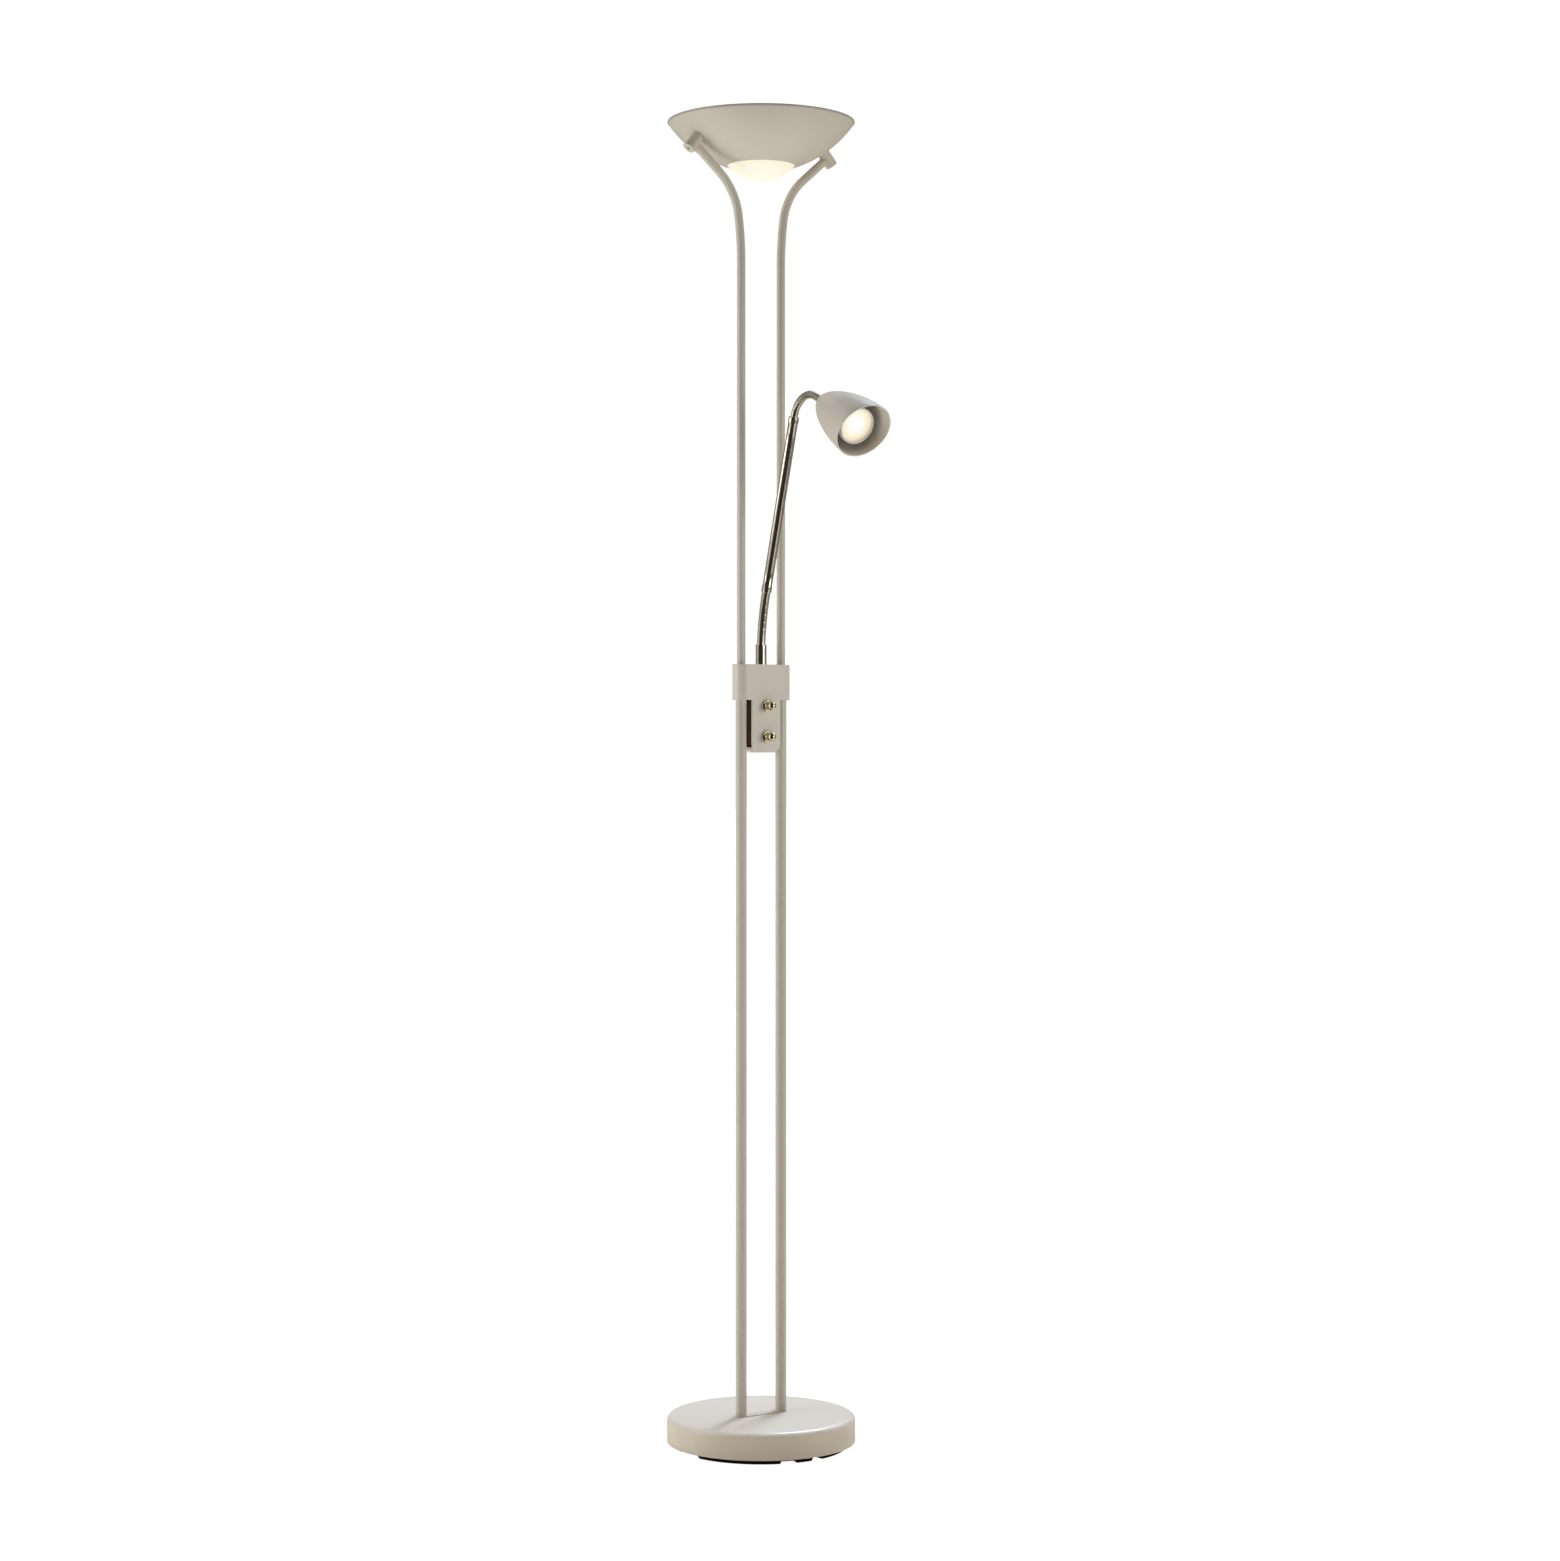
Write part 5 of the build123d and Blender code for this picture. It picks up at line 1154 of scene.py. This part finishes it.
# %% [markdown]
# ## The white room
# The lamp stands in a white room: white behind, white at both sides, white floor. A white world gives the
# soft light that comes from everywhere in such a room. The floor is plain white and takes hardly any
# shadow, so its sheet glows by itself. That glow is only for the camera: the sheet is hidden from the rays
# that light the lamp or are mirrored in it, because a card takes the floor's part for them.

# %% White room
WORLD_TONE, WORLD_STRENGTH = (1.0, 0.99, 0.975, 1), 1.03
FLOOR_REACH = 40.0
FLOOR_TONE, FLOOR_GLOW = (0.1, 0.099, 0.098, 1.0), 10.0
scene = bpy.context.scene
scene.view_settings.view_transform = "Standard"
room = bpy.data.worlds.new("white_room")
room.use_nodes = True
room_light = room.node_tree.nodes["Background"]
room_light.inputs["Color"].default_value = WORLD_TONE
room_light.inputs["Strength"].default_value = WORLD_STRENGTH
scene.world = room


def plain(name, colour, roughness, glow=0.0):
    """Finish for the floor and the cards, with a slight unevenness."""
    cloth = Finish(name)
    weave = cloth.noise(cloth.place(), 3.0, 3.0)
    tone = cloth.mix(weave, scaled(colour, 0.985), colour)
    return cloth.surface(Base_Color=tone, Roughness=roughness, Emission_Color=tone, Emission_Strength=glow)


def stage_sheet(name, grid, finish):
    """Open sheet from a grid of points, which isn't part of the lamp."""
    mesh = grid_mesh(name, grid, loop_columns=False)
    mesh.materials.append(finish)
    sheet = bpy.data.objects.new(name, mesh)
    scene.collection.objects.link(sheet)
    sheet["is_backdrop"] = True
    return sheet


edges = np.array((-FLOOR_REACH, FLOOR_REACH))
floor_grid = np.stack(np.broadcast_arrays(edges[None, :], edges[:, None], 0.0), axis=-1)
floor = stage_sheet("pale_floor", floor_grid, plain("pale_floor", FLOOR_TONE, 0.8, FLOOR_GLOW))
floor.visible_diffuse = False
floor.visible_glossy = False
print("world", room.name, "floor", 2 * FLOOR_REACH, "across")

# %% [markdown]
# ## Cards round the lamp
# A studio shapes its light with cards that stand outside the picture. A dark flag on the camera's side
# draws the dark stripe down the nickel and shades the middle of the poles, and a hood carries it on
# overhead. A grey card goes round the back, and a warm ring lies on the floor round the base. Three more
# cards only show in shiny pieces: a brown one on the floor in front, a pale one at the left at the height
# of the lower gooseneck, and a dark one overhead. Each card is a sheet bent round the lamp's axis, and the
# camera looks through all of them.

# %% Cards
FLAG_SIDES = (-58, 80)
FLAG_DISTANCE, FLAG_TOP = 3.0, 3.0
FLAG_TONE = linear(58, 54, 46)
HOOD_EDGE, HOOD_HEIGHT = 0.8, 4.2
CARD_DISTANCE = 1.6
ON_FLOOR = 0.003
RING_INNER, RING_OUTER = 0.13, 0.36
ALL_ROUND = (-180, 180)
TOP_HEIGHT = 4.5


def bent_sheet(sides, lower, upper):
    """Sheet bent round the lamp's axis between two angles from the camera's side, in degrees.

    Its lower edge lies at one distance from the axis and one height, and its upper edge at another.
    """
    angle = CAMERA_AZIMUTH + np.radians(np.linspace(*sides, 37))
    reach, level = np.array((lower, upper)).T[:, :, None]
    return np.stack(np.broadcast_arrays(reach * np.sin(angle), -reach * np.cos(angle), level), axis=-1)


cards = (
    ("dark_flag", FLAG_SIDES, (FLAG_DISTANCE, ON_FLOOR), (FLAG_DISTANCE, FLAG_TOP), FLAG_TONE),
    ("dark_hood", FLAG_SIDES, (FLAG_DISTANCE, FLAG_TOP), (HOOD_EDGE, HOOD_HEIGHT), FLAG_TONE),
    ("rear_card", (80, 245), (CARD_DISTANCE, 0.0), (CARD_DISTANCE, 2.4), linear(176, 170, 160)),
    ("floor_card", ALL_ROUND, (RING_INNER, ON_FLOOR), (RING_OUTER, ON_FLOOR), linear(230, 214, 188)),
    ("brown_card", (-58, 40), (RING_OUTER, ON_FLOOR), (FLAG_DISTANCE, ON_FLOOR), linear(70, 54, 42)),
    ("side_card", (-115, -58), (CARD_DISTANCE, 0.9), (CARD_DISTANCE, 1.22), linear(214, 206, 195)),
    ("top_card", ALL_ROUND, (0.05, TOP_HEIGHT), (2.0, TOP_HEIGHT), linear(60, 52, 44)),
)
MIRROR_ONLY = ("brown_card", "side_card", "top_card")
for name, sides, lower, upper, tone in cards:
    card = stage_sheet(name, bent_sheet(sides, lower, upper), plain(name, tone, 0.9))
    card.visible_camera = False
    card.visible_diffuse = name not in MIRROR_ONLY
    card.visible_shadow = name not in MIRROR_ONLY
print("cards", len(cards), "of which only mirrored", len(MIRROR_ONLY))

# %% [markdown]
# ## Lights
# Two large soft boxes at the left and the right lift the sides of the poles and of the bowl. A smaller one
# behind the lamp is aimed at the base through a narrow cone, so that the base's top comes out pale. From
# behind and above comes a weak cool light with a wide angle, like a skylight, which cools the upper side of
# the shade.

# %% Soft boxes and top light
SKY_LEAN, SKY_TURN, SKY_WIDTH = math.radians(35), math.radians(140), math.radians(50)


def hang(name, kind, power, colour, location, rotation):
    """New light of a kind at a place, turned by three angles."""
    light = bpy.data.lights.new(name, kind)
    light.energy = power
    light.color = colour
    holder = bpy.data.objects.new(name, light)
    holder.location = location
    holder.rotation_euler = rotation
    scene.collection.objects.link(holder)
    return light


def soft_light(name, side, reach, level, aim, size, power, colour, spread=180):
    """Square area light that looks at a height on the lamp's axis, inside a cone of spread degrees.

    It hangs at an angle to the right of the camera in degrees, a distance from the axis and a height.
    """
    angle = CAMERA_AZIMUTH + math.radians(side)
    spot = (reach * math.sin(angle), -reach * math.cos(angle), level)
    tilt = math.pi / 2 + math.atan2(aim - level, reach)
    box = hang(name, "AREA", power, colour, spot, (tilt, 0, angle))
    box.shape = "SQUARE"
    box.size = size
    box.spread = math.radians(spread)


soft_light("left_box", -75, 2.2, 1.1, aim=1.0, size=1.2, power=14.0, colour=(0.97, 0.99, 1.0))
soft_light("right_box", 58, 1.7, 1.3, aim=1.15, size=0.9, power=9.0, colour=(0.99, 1.0, 0.98))
soft_light("rear_box", 155, 1.5, 2.0, aim=0.0, size=0.5, power=2.8, colour=(0.72, 0.78, 1.0), spread=40)
sky = hang("cool_top", "SUN", 1.6, (0.62, 0.76, 1.0), (0, 0, TOP_HEIGHT),
           (SKY_LEAN, 0, CAMERA_AZIMUTH + SKY_TURN))
sky.angle = SKY_WIDTH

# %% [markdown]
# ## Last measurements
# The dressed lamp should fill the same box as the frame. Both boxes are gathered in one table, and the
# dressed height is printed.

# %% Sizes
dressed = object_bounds()
sizes = {"frame": [[float(v) for v in corner] for corner in CAD_BOX],
         "dressed": [[float(v) for v in corner] for corner in dressed]}
print("dressed height", round(dressed[1].z - dressed[0].z, 4))
